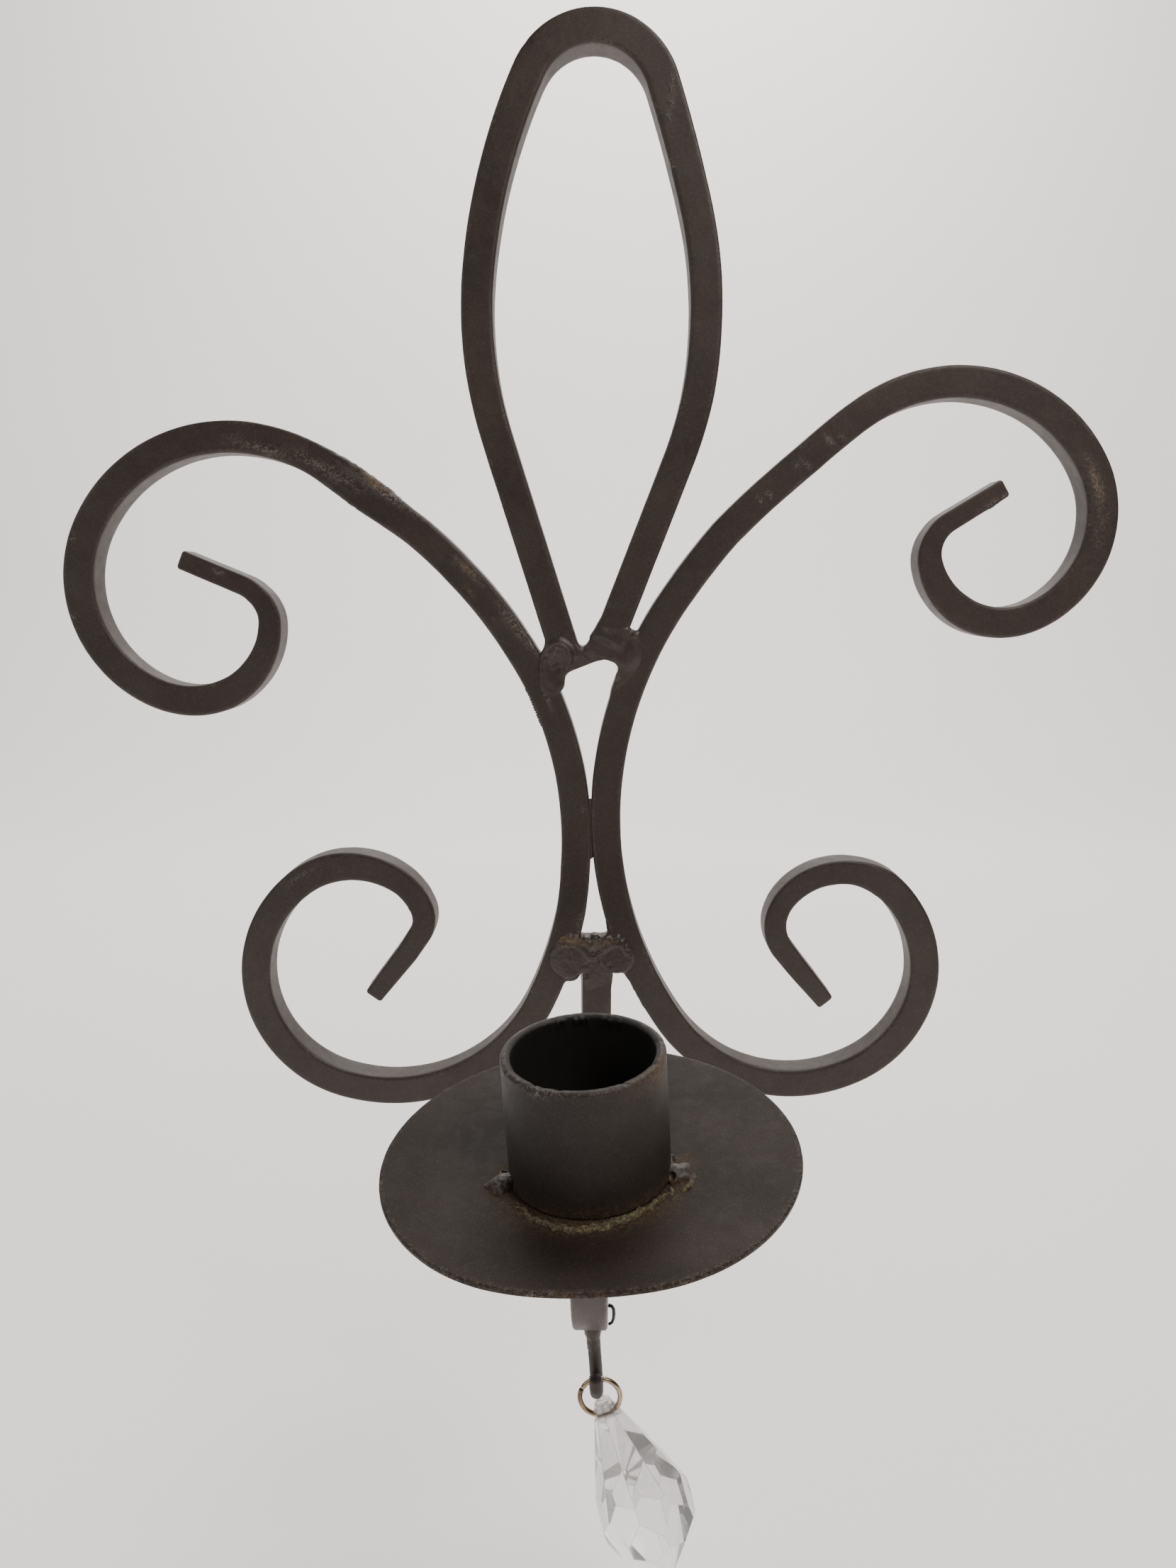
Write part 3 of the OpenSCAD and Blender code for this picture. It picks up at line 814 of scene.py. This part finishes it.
def tube(name, path, radius, sides, up, place, material, body, replaced, marks=None):
    """A round rod swept along a path that never points along up. radius is one number, or
    an array with a row for each step of the path and a column for each side."""
    path = np.array(path, float)
    way = np.gradient(path, axis=0)
    way /= np.linalg.norm(way, axis=1, keepdims=True)
    across = np.cross(way, up)
    across /= np.linalg.norm(across, axis=1, keepdims=True)
    turn = sides_round(sides)[None, :, None]
    ring = across[:, None] * np.cos(turn) + np.cross(way, across)[:, None] * np.sin(turn)
    points = (path[:, None] + ring * radius[..., None]).reshape(-1, 3)
    faces = skin(len(path), sides)
    make_piece(name, place(points), faces, material, body, replaced, marks)


def sides_round(sides):
    """Bearings of evenly spaced sides round a rod, in radians."""
    return np.arange(sides) * 2 * math.pi / sides


def end_nearness(steps, share):
    """From 1 at either end of a rod down to 0 after that share of its length."""
    part = np.linspace(0, 1, steps)[:, None]
    return np.maximum(0, 1 - np.minimum(part, 1 - part) / share)


def on_hook(points):
    """Places points given from the middle of the rod at the bottom of its bend."""
    c, s = math.cos(HOOK_LEAN), math.sin(HOOK_LEAN)
    x, y, z = points[:, 0], points[:, 1], points[:, 2]
    return RING_PIVOT + np.stack([x * c + z * s, y, z * c - x * s], -1)


def crystal_hook(material):
    """Round rod bent into a J, its tip cut off square and its front creased."""
    top, sides = node_box("crystal_hook")[1][2] - RING_PIVOT[2], 32
    path = [(0, HOOK_BEND, z) for z in np.linspace(top, HOOK_BEND, 30, endpoint=False)]
    path += [
        (0, HOOK_BEND * math.cos(t), HOOK_BEND - HOOK_BEND * math.sin(t))
        for t in np.linspace(0, math.pi, 28)
    ]
    path += [(0, -HOOK_BEND, z) for z in np.linspace(HOOK_BEND + 0.4, HOOK_BEND + 3.0, 7)]
    crease = 0.35 * bell(off_bearing(np.degrees(sides_round(sides)), 90), 16)
    radius = HOOK_R * (1 - 0.25 * end_nearness(len(path), 1 / 30) ** 2) - crease - 0.03

    def place(points):
        return on_hook(points + 0.06 * lumps(points, 1.5, 2.0)[:, None] * (1, 1, 0.2))

    tube(
        "crystal_hook_rod", path, radius, sides, (1, 0, 0), place, material, "frame",
        ["crystal_hook"],
    )


def hook_weld(material):
    """The bead where the hook meets the arm."""
    low, high, cell = (-6.5, -2.5, 6), (7.5, 9.5, 19.5), 0.22
    at = grid(low, high, cell)
    metal = rod_field(at, (0, HOOK_BEND, 15.6), (0, HOOK_BEND, 16.2), 2.1)
    metal = blend(metal, rod_field(at, (-0.6, HOOK_BEND + 0.6, 16.2), (0.8, HOOK_BEND, 16.4), 1.9), 0.8)
    metal = blend(metal, rod_field(at, (0, HOOK_BEND, 10.5), (0, HOOK_BEND, 14), 1.9), 1.2)
    cast_piece(
        "hook_weld_bead", metal, low, cell, material, ["weld_hook"], rough=0.12,
        grain=1.0, seed=13.0, place=on_hook,
    )


def arm_whisker(material):
    """A thin curl of spatter metal that sticks out beside the arm's lowest stretch."""
    low, high = node_box("candle_arm")
    path = [(high[0] - 0.6 + out, -80.0, low[2] + up) for out, up in (
        (-0.9, 15.0), (0.0, 14.7), (0.5, 13.8), (0.6, 12.4), (0.5, 11.0), (0.1, 9.8), (-0.8, 9.2),
    )]
    radius = np.linspace(0.5, 0.38, len(path))[:, None]
    tube(
        "arm_whisker", path, radius, 12, (0, 1, 0), np.asarray, material, "frame", [],
    )


def hanging(points):
    """Places points given from the ring's pivot, with +Z up along the hanging ring."""
    points = np.asarray(points)
    depth = np.cross(-HANG_DOWN, HANG_ACROSS)
    x, y, z = points[:, :1], points[:, 1:2], points[:, 2:3]
    return RING_PIVOT + x * HANG_ACROSS + y * depth - z * HANG_DOWN


def pendant_ring(material):
    """Open ring of round wire, its two cut ends standing a little apart."""
    wire, radius, drop, split, sides = 0.7, 5.5, 2.75, 135, 20
    degrees = np.linspace(split, split + 355, 220)
    bearing = np.radians(degrees)
    aside = 0.12 * np.clip(1 - (degrees - split) / 60, 0, 1)
    path = np.stack([radius * np.cos(bearing), aside, radius * np.sin(bearing) - drop], -1)
    thickness = wire * (1 - 0.2 * end_nearness(len(path), 1 / 160))
    dark = bell(np.repeat(degrees, sides) - split - 10, 40)
    tube(
        "pendant_ring_wire", path, thickness, sides, (0, 1, 0), hanging, material, "ring",
        ["pendant_ring"], {"dark": dark},
    )


CRYSTAL_L = 57.0
CRYSTAL_W = 27.0
# The cross hole's radius, and how far its middle lies under the crystal's top
CRYSTAL_HOLE_R = 1.7
CRYSTAL_HOLE_DOWN = 3.4
CRYSTAL_ARRIS = 0.26


def facets():
    """Planes of the crystal's cut, as outward normal and a point on it, with z = 0 at its top:
    five eight-sided tapers [radius at the bottom, radius at the top, first bearing]."""
    belt = CRYSTAL_W / 2 * math.cos(math.radians(22.5))
    top_r, tip_r = 2.2, 0.9
    tapers = [
        (belt, belt, 0.0),
        (top_r + 0.4 * CRYSTAL_L, top_r, 0.0),
        (top_r + 0.325 * CRYSTAL_L, top_r, 22.5),
        (tip_r, tip_r + 0.97 * CRYSTAL_L, 0.0),
        (tip_r, tip_r + 0.68 * CRYSTAL_L, 22.5),
    ]
    planes = []
    for low, high, first in tapers:
        slope = (high - low) / CRYSTAL_L
        for i in range(8):
            turn = math.radians(first + 45 * i)
            away = Vector((math.cos(turn), math.sin(turn), 0))
            planes.append(((away - Vector((0, 0, slope))).normalized(), high * away))
    return planes


def cut_crystal():
    """The crystal's block, cut plane by plane, its arrises just broken."""
    cut = bmesh.new()
    bmesh.ops.create_cube(cut, size=1)
    bmesh.ops.scale(cut, vec=(40, 40, CRYSTAL_L), verts=cut.verts)
    bmesh.ops.translate(cut, vec=(0, 0, -CRYSTAL_L / 2), verts=cut.verts)
    for normal, at in facets():
        everything = cut.verts[:] + cut.edges[:] + cut.faces[:]
        done = bmesh.ops.bisect_plane(
            cut, geom=everything, plane_co=at, plane_no=normal, clear_outer=True, dist=1e-4,
        )
        edges = [e for e in done["geom_cut"] if isinstance(e, bmesh.types.BMEdge)]
        bmesh.ops.contextual_create(cut, geom=edges)
    bmesh.ops.dissolve_limit(cut, angle_limit=0.005, verts=cut.verts, edges=cut.edges)
    bmesh.ops.recalc_face_normals(cut, faces=cut.faces)
    bmesh.ops.bevel(
        cut, geom=cut.edges[:], offset=CRYSTAL_ARRIS, offset_type="OFFSET", segments=1,
        affect="EDGES", clamp_overlap=True, profile=0.5,
    )
    bmesh.ops.translate(cut, vec=(0, 0, CRYSTAL_HOLE_DOWN), verts=cut.verts)
    mesh = bpy.data.meshes.new("crystal_body")
    cut.to_mesh(mesh)
    cut.free()
    return mesh


def drill_mesh():
    """A rod across the crystal's neck that cuts its hole."""
    points = [
        (x, CRYSTAL_HOLE_R * math.cos(t), CRYSTAL_HOLE_R * math.sin(t))
        for x in (-20.0, 20.0) for t in sides_round(48)
    ]
    mesh = bpy.data.meshes.new("crystal_drill")
    mesh.from_pydata(points, [], skin(2, 48))
    return mesh


def crystal_drop(material):
    """Faceted drop with a hole drilled across its neck."""
    whole = bpy.data.objects.new("crystal_whole", cut_crystal())
    tool = bpy.data.objects.new("crystal_tool", drill_mesh())
    for item in (whole, tool):
        bpy.context.scene.collection.objects.link(item)
    drilled = whole.modifiers.new("drill", "BOOLEAN")
    drilled.operation = "DIFFERENCE"
    drilled.solver = "EXACT"
    drilled.object = tool
    result = whole.evaluated_get(bpy.context.evaluated_depsgraph_get()).to_mesh()
    hole_drop = np.linalg.norm(HOLE_AT - RING_PIVOT)
    points = np.array([v.co[:] for v in result.vertices]) - (0, 0, hole_drop)
    faces = [tuple(face.vertices) for face in result.polygons]
    # The broken arrises are the faces that are narrow for their length
    narrow, painted_facet_shade = [], []
    for face in result.polygons:
        x, y, z = face.normal
        # Painted facet shade: a facet is greyer as it faces +X and paler towards -X, with a little wave
        # on top
        painted_facet_shade.append(0.5 - 0.6 * x + 0.35 * math.sin(5 * y + 3 * z))
        corners = [result.vertices[v].co for v in face.vertices]
        longest = max((corners[i] - corners[i - 1]).length for i in range(len(corners)))
        narrow.append(1.0 if face.area / longest < 0.75 else 0.0)
    for item in (whole, tool):
        bpy.data.objects.remove(item)
    piece = make_piece(
        "crystal_drop_glass", hanging(points), faces, material, "crystal",
        ["crystal_drop"], smooth=False,
    )
    for key, values in (("arris", narrow), ("painted_facet_shade", np.clip(painted_facet_shade, 0, 1))):
        layer = piece.data.attributes.new(key, "FLOAT", "FACE")
        layer.data.foreach_set("value", values)


# ---- Materials ----

class Look:
    """A material and short ways to add its nodes. Noise scales are lumps a metre."""

    def __init__(self, name):
        self.material = bpy.data.materials.new(name)
        self.material.use_nodes = True
        self.tree = self.material.node_tree
        self.tree.nodes.clear()
        self.where = self.add("ShaderNodeTexCoord").outputs["Object"]

    def add(self, kind, inputs=None, **settings):
        """A node; inputs are numbers, colours or other nodes' outputs."""
        made = self.tree.nodes.new(kind)
        for key, value in settings.items():
            setattr(made, key, value)
        for key, value in (inputs or {}).items():
            if isinstance(value, bpy.types.NodeSocket):
                self.tree.links.new(value, made.inputs[key])
            else:
                made.inputs[key].default_value = (*value, 1) if isinstance(value, tuple) else value
        return made

    def calc(self, operation, *values, clamp=False):
        inputs = dict(enumerate(values))
        made = self.add("ShaderNodeMath", inputs, operation=operation, use_clamp=clamp)
        return made.outputs[0]

    def noise(self, scale, detail=3.0, rough=0.55, distortion=0.0):
        return self.add("ShaderNodeTexNoise", {
            "Vector": self.where, "Scale": scale, "Detail": detail, "Roughness": rough,
            "Distortion": distortion,
        }).outputs["Fac"]

    def ramp(self, value, low, high, to_low=0.0, to_high=1.0):
        """Maps a range onto another, held at its ends."""
        return self.add("ShaderNodeMapRange", {
            "Value": value, "From Min": low, "From Max": high, "To Min": to_low,
            "To Max": to_high,
        }).outputs["Result"]

    def tint(self, amount, one, other):
        """Mix of two colours; each is a colour or a node's output."""
        inputs = {0: amount, 6: one, 7: other}
        return self.add("ShaderNodeMix", inputs, data_type="RGBA").outputs[2]

    def mark(self, name):
        return self.add("ShaderNodeAttribute", attribute_name=name).outputs["Fac"]

    def bump(self, height, strength, distance, **below):
        inputs = {"Height": height, "Strength": strength, "Distance": distance, **below}
        return self.add("ShaderNodeBump", inputs).outputs["Normal"]

    def shader(self, colour, gloss, **inputs):
        inputs = {"Base Color": colour, "Roughness": gloss, **inputs}
        return self.add("ShaderNodeBsdfPrincipled", inputs).outputs[0]

    def done(self, shader):
        self.add("ShaderNodeOutputMaterial", {"Surface": shader})
        return self.material


def painted_iron(name, dark, light, bare_and_highlight=(0.21, 0.18, 0.155), roughness=0.5, bump=0.3, inside=None,
                 specular=0.5):
    """Satin brown-black paint over iron: uneven colour, orange peel, rust and pale patches
    rubbed through the paint where the mesh is marked; some pale marks are painted highlights."""
    look = Look(name)
    streak = look.noise(260, 5.0, 0.7, 0.6)
    pale = tuple(1.5 * part for part in light)
    colour = look.tint(look.ramp(look.noise(38, 4.0), 0.36, 0.66), dark, light)
    colour = look.tint(look.ramp(look.noise(2600, 2.0), 0.52, 0.80, 0.0, 0.14), colour, bare_and_highlight)
    colour = look.tint(look.ramp(streak, 0.58, 0.74, 0.0, 0.35), colour, pale)
    squiggle = look.calc("SUBTRACT", look.noise(520, 2.0, 0.5, 1.2), 0.5)
    line = look.ramp(look.calc("ABSOLUTE", squiggle), 0.008, 0.03, 1.0, 0.0)
    patch = look.ramp(look.noise(1100, 3.0, 0.6), 0.52, 0.62, 0.0, 0.4)
    # Pale marked patches: rubbed paint, and painted highlights on the welds
    worn_and_highlit = look.calc("MULTIPLY", look.mark("wear_and_highlight"), look.calc("MAXIMUM", line, patch))
    colour = look.tint(look.calc("MULTIPLY", worn_and_highlit, 1.2, clamp=True), colour, bare_and_highlight)
    speckle = look.ramp(look.noise(1300, 4.0, 0.7), 0.40, 0.60, 0.15, 1.3)
    rusted = look.calc("MULTIPLY", look.mark("rust"), speckle, clamp=True)
    rust_patch = look.ramp(look.noise(700), 0.4, 0.6)
    rust = look.tint(rust_patch, (0.13, 0.062, 0.026), (0.17, 0.125, 0.06))
    colour = look.tint(rusted, colour, rust)
    if inside:
        colour = look.tint(look.mark("inside"), colour, inside)
    gloss = look.ramp(streak, 0.3, 0.7, roughness - 0.06, roughness + 0.08)
    gloss = look.calc("ADD", gloss, look.calc("MULTIPLY", rusted, 0.3))
    peel = look.bump(look.noise(900), bump, 0.00012)
    normal = look.bump(streak, 0.35 * bump, 0.0003, Normal=peel)
    return look.done(look.shader(colour, gloss, **{"Normal": normal, "Specular IOR Level": specular}))


def crust_material():
    """Rust and pale green residue."""
    look = Look("foot_residue")
    grain = look.noise(1500, 4.0, 0.7)
    patch = look.ramp(look.noise(190, 3.0, 0.6), 0.40, 0.60)
    colour = look.tint(patch, (0.23, 0.16, 0.055), (0.20, 0.195, 0.10))
    colour = look.tint(look.ramp(grain, 0.46, 0.66), (0.06, 0.042, 0.028), colour)
    colour = look.tint(look.ramp(grain, 0.62, 0.78), colour, (0.30, 0.27, 0.17))
    return look.done(look.shader(colour, 0.85, Normal=look.bump(grain, 0.6, 0.0004)))


def brass_material():
    """Brassy wire, tarnished dark near its split."""
    look = Look("ring_brass")
    cloud = look.noise(420, 4.0)
    colour = look.tint(look.ramp(cloud, 0.38, 0.62), (0.30, 0.22, 0.115), (0.42, 0.36, 0.27))
    patchy = look.ramp(cloud, 0.3, 0.6, 0.5, 1.1)
    stained = look.calc("MULTIPLY", look.mark("dark"), patchy, clamp=True)
    colour = look.tint(stained, colour, (0.10, 0.075, 0.045))
    gloss = look.ramp(cloud, 0.3, 0.7, 0.16, 0.28)
    normal = look.bump(look.noise(2400, 2.0), 0.12, 0.0001)
    return look.done(look.shader(colour, gloss, Metallic=1.0, Normal=normal))


def glass_material():
    """Clear cut crystal with faint polishing marks and a trace of dust, and painted shade:
    facets greyed by the way they face and the arrises darkened.
    """
    look = Look("crystal_glass")
    dust = look.noise(320, 4.0, 0.6)
    arris = look.mark("arris")
    gloss = look.ramp(dust, 0.45, 0.75, 0.0, 0.035)
    gloss = look.calc("ADD", gloss, look.calc("MULTIPLY", arris, 0.3))
    # Painted shade: facets greyed by the way they face
    colour = look.tint(look.mark("painted_facet_shade"), (0.66, 0.64, 0.64), (1.0, 1.0, 1.0))
    colour = look.tint(look.ramp(dust, 0.5, 0.8, 0.0, 0.5), colour, (0.92, 0.92, 0.93))
    # Painted shade: the arrises darkened to thin grey lines
    colour = look.tint(look.calc("MULTIPLY", arris, 0.9), colour, (0.50, 0.48, 0.47))
    normal = look.bump(look.noise(2200), 0.012, 0.0001)
    glass = look.shader(
        colour, gloss, **{"Normal": normal, "IOR": 1.5, "Transmission Weight": 1.0},
    )
    clear = look.add("ShaderNodeBsdfTransparent", {"Color": colour}).outputs[0]
    mix = look.add("ShaderNodeMixShader", {0: 0.12, 1: glass, 2: clear})
    return look.done(mix.outputs[0])


# ---- Build ----

frame_paint = painted_iron("frame_paint", (0.022, 0.0125, 0.0100), (0.034, 0.0215, 0.0170))
weld_paint = painted_iron(
    "weld_paint", (0.024, 0.0155, 0.013), (0.042, 0.029, 0.024), bare_and_highlight=(0.22, 0.18, 0.15),
    roughness=0.42, bump=0.4,
)
pan_paint = painted_iron(
    "pan_paint", (0.022, 0.0155, 0.0125), (0.034, 0.025, 0.0205), roughness=0.55, bump=0.2,
    specular=0.16,
)
cup_paint = painted_iron(
    "cup_paint", (0.024, 0.0175, 0.015), (0.036, 0.028, 0.024), bump=0.25, specular=0.3,
    inside=(0.018, 0.016, 0.014),
)

forged_bar(
    "centre_loop", LOOP, frame_paint, seed=1.0,
    shifts=[(0, -0.2), (60, 0), (210, -0.3), (290, 0), (310, 0.4), (386, 0.3)],
    flaws=[(243.9, -4.4, 1.2, 0.8, -0.3), (177.1, 3.8, 1.0, 0.8, -0.3)],
    wear_and_highlight=[(222.5, 2.6, 1.5, 0.5, 0.7), (225, 1.5, 1.5, 0.5, 0.7), (228, 0.2, 1.5, 0.5, 0.7),
          (231.3, -1.5, 1.5, 0.5, 0.7), (243.9, -4.0, 1.2, 0.8, 0.8)],
)
forged_bar(
    "left_scroll", LEFT, frame_paint, seed=2.0,
    widths=[(0, 6.0), (24, 6.3), (34, 6.9), (43, 7.7), (52, 8.6), (64, 9.5), (608, 9.5), (622, 8.8),
            (632, 8.0), (645, 7.7), (660, 7.1), (677, 6.0)],
    shifts=[(0, -1.1), (25, -1.0), (33, -0.3), (42, 0), (60, 0), (80, -0.6), (140, -0.7), (168, -0.4),
            (212, 0), (231, 0.6), (265, 0.6), (283, 0), (310, 0.1), (330, 0.8), (355, 0.7),
            (385, 0.1), (400, 0.3), (430, -0.4), (490, 0), (632, 0), (640, -0.6), (649, 0.4),
            (658, 0.9), (677, 0.4)],
    flaws=[(240, 5.2, 9, 2.0, 1.2), (251, 5.0, 7, 1.6, 0.8), (246, -4.8, 8, 1.6, 0.4),
           (203, -1, 3, 1.0, 0.25), (209, -1.6, 2.0, 0.8, 0.3), (214, -2.4, 3.0, 0.7, 0.35),
           (220, -2.2, 2.0, 0.9, 0.3), (224, 2.4, 1.5, 0.9, 0.3), (229, -0.5, 2.5, 0.7, 0.35),
           (234, 1.8, 1.4, 0.9, 0.3), (237, -1.4, 2.6, 1.0, 0.35), (243.8, -1.8, 2.2, 1.2, 0.3),
           (279, 1.2, 1.0, 0.8, 0.35), (282, 1.9, 1.2, 0.8, 0.4), (286, 2.5, 2.0, 0.8, 0.35),
           (300, -0.6, 1.5, 0.7, 0.3), (304, 1.7, 4.0, 0.7, 0.4), (311, 3.4, 3.0, 0.8, 0.5),
           (328, 0.5, 0.6, 0.5, 0.5), (333, 0.2, 0.7, 0.5, 0.5), (330.5, -0.3, 2.2, 0.3, 0.4),
           (357, 1.5, 1.0, 0.5, 0.3), (366, 3.2, 1.0, 0.6, 0.3), (375, 2.4, 1.2, 0.5, 0.3),
           (400, 3.2, 1.2, 0.5, 0.35), (406, 3.2, 1.0, 0.7, 0.4), (12.2, 1.3, 1.4, 0.6, 0.35)],
    wear_and_highlight=[(214, -2.2, 8, 1.2, 0.7), (229, -0.8, 7, 1.6, 0.6), (240, 0.6, 6, 1.8, 0.5),
          (252, 4.0, 8, 1.2, 0.95), (203, 0, 4, 1.0, 0.3), (284, 2.4, 5, 1.0, 0.6),
          (304, 2.6, 7, 1.1, 0.7), (311, 4.0, 6, 0.9, 0.8), (330, 0.2, 3.2, 0.5, 0.8),
          (366, 2.6, 1.4, 0.5, 0.6), (403, 3.2, 3.0, 0.6, 0.6), (597, 2.0, 5.0, 0.6, 0.5),
          (119.9, 3.0, 1.0, 0.6, 0.8), (142.9, 3.0, 1.0, 0.6, 0.8), (12.2, 1.3, 1.6, 0.7, 0.7)],
    rust=[(247, 4.2, 4, 1.0, 0.7), (284, 2.4, 3.5, 0.9, 0.6), (289, -1.6, 2.0, 0.6, 0.4)],
)
forged_bar(
    "right_scroll", RIGHT, frame_paint, seed=3.0,
    widths=[(0, 5.7), (14, 6.1), (25, 6.4), (33, 7.5), (42, 8.6), (52, 9.5), (578, 9.4), (588, 8.1),
            (600, 7.8), (618, 7.2), (632, 7.5), (645, 6.8), (656, 5.8)],
    shifts=[(0, 1.0), (25, 1.2), (42, 0.7), (60, 0.3), (78, 0), (100, -0.1), (130, 0),
            (150, -0.5), (180, -0.7), (212, -0.5), (229, 0.2), (240, 0.1), (262, -0.5),
            (283, 0.2), (350, 0.2), (385, 0.35),
            (420, 0.5), (445, 0.6), (480, 0.1), (516, -0.2), (540, -0.5), (575, 0), (596, 0.7),
            (618, 1.0), (640, 0.1), (656, -0.2)],
    flaws=[(220, 1.5, 0.5, 2.2, -0.15), (231, 0.5, 0.5, 2.2, -0.15), (6, 3.2, 2.0, 1.0, 0.3)],
    wear_and_highlight=[(218, 1.0, 0.8, 1.8, 0.6), (221.5, 0.0, 0.8, 2.4, 0.6), (231, 0.5, 0.8, 2.2, 0.6),
          (233.5, -0.8, 0.7, 1.8, 0.5), (245, 0.5, 0.8, 1.8, 0.6), (248, 0.2, 0.8, 1.8, 0.5),
          (126, 1.2, 7, 1.4, 0.55), (112, 0.5, 14, 2.4, 0.25), (4, 2.0, 5, 0.7, 0.6)],
    rust=[(124, 1.0, 5, 1.2, 0.5)],
)
forged_bar(
    "candle_arm", ARM, frame_paint, seed=4.0, twists=ARM_TWIST, place=in_arm_plane,
)
top_weld(weld_paint)
arm_weld(weld_paint)
waist_bead(frame_paint)
drip_pan(pan_paint)
candle_cup(cup_paint)
foot_crust(crust_material())
cup_tack("cup_tack_left", 192, 3.3, weld_paint, 5.0, "weld_cup_left")
cup_tack("cup_tack_right", -12, 3.1, weld_paint, 8.0, "weld_cup_right")
pan_collar(weld_paint)
crystal_hook(frame_paint)
hook_weld(weld_paint)
arm_whisker(weld_paint)
pendant_ring(brass_material())
crystal_drop(glass_material())


# ---- Stage, lights and camera ----

def studio_floor():
    """A pale floor that sweeps up well behind the object."""
    level, sweep_at, sweep_r, top, half_width = -0.462, 0.95, 0.55, 1.5, 2.6
    line = [(-2.2, level), (sweep_at, level)]
    line += [
        (sweep_at + sweep_r * math.sin(t), level + sweep_r - sweep_r * math.cos(t))
        for t in np.linspace(0.06, math.pi / 2, 24)
    ]
    line.append((sweep_at + sweep_r, top))
    points = [(x, y, z) for x in (half_width, -half_width) for y, z in line]
    count = len(line)
    faces = [(i, i + 1, count + i + 1, count + i) for i in range(count - 1)]
    mesh = bpy.data.meshes.new("studio_floor")
    mesh.from_pydata(points, [], faces)
    mesh.polygons.foreach_set("use_smooth", [True] * len(mesh.polygons))
    look = Look("studio_paper")
    patch = look.ramp(look.noise(3.0), 0.3, 0.7)
    colour = look.tint(patch, (0.84, 0.81, 0.79), (0.86, 0.83, 0.81))
    glow = {"Emission Color": colour, "Emission Strength": 0.64}
    mesh.materials.append(look.done(look.shader(colour, 0.9, **glow)))
    floor = bpy.data.objects.new("studio_floor", mesh)
    bpy.context.scene.collection.objects.link(floor)


def soft_light(name, at, aim, size, power, colour):
    lamp = bpy.data.lights.new(name, "AREA")
    lamp.shape = "SQUARE"
    lamp.size = size
    lamp.energy = power
    lamp.color = colour
    lit = bpy.data.objects.new(name, lamp)
    lit.location = at
    lit.rotation_euler = (Vector(aim) - Vector(at)).to_track_quat("-Z", "Y").to_euler()
    bpy.context.scene.collection.objects.link(lit)


def studio():
    studio_floor()
    aim = (0, 0, -0.2)
    soft_light("key_light", (0.38, -0.48, 0.46), (0.02, 0, -0.1), 0.45, 5.2, (1.0, 0.94, 0.88))
    soft_light("fill_light", (-1.3, -0.6, 0.5), aim, 1.0, 5.0, (0.95, 0.97, 1.0))
    soft_light("back_light", (0.1, 0.75, 1.2), (0, 1.5, -0.1), 1.0, 26.0, (1.0, 0.985, 0.965))
    world = bpy.data.worlds.new("studio_air")
    world.use_nodes = True
    world.node_tree.nodes["Background"].inputs["Color"].default_value = (0.80, 0.80, 0.81, 1)
    world.node_tree.nodes["Background"].inputs["Strength"].default_value = 0.09
    bpy.context.scene.world = world


def photo_camera():
    """Camera low in front of the sconce, looking down on the pan."""
    lens = bpy.data.cameras.new("photo_camera")
    lens.lens = 25.0
    lens.sensor_width = 36.0
    lens.clip_start = 0.01
    viewer = bpy.data.objects.new("photo_camera", lens)
    viewer.location = (-0.00095, -0.3475, -0.1524)
    viewer.rotation_euler = tuple(math.radians(a) for a in (80, 0, 0.3))
    bpy.context.scene.collection.objects.link(viewer)
    bpy.context.scene.camera = viewer


studio()
photo_camera()
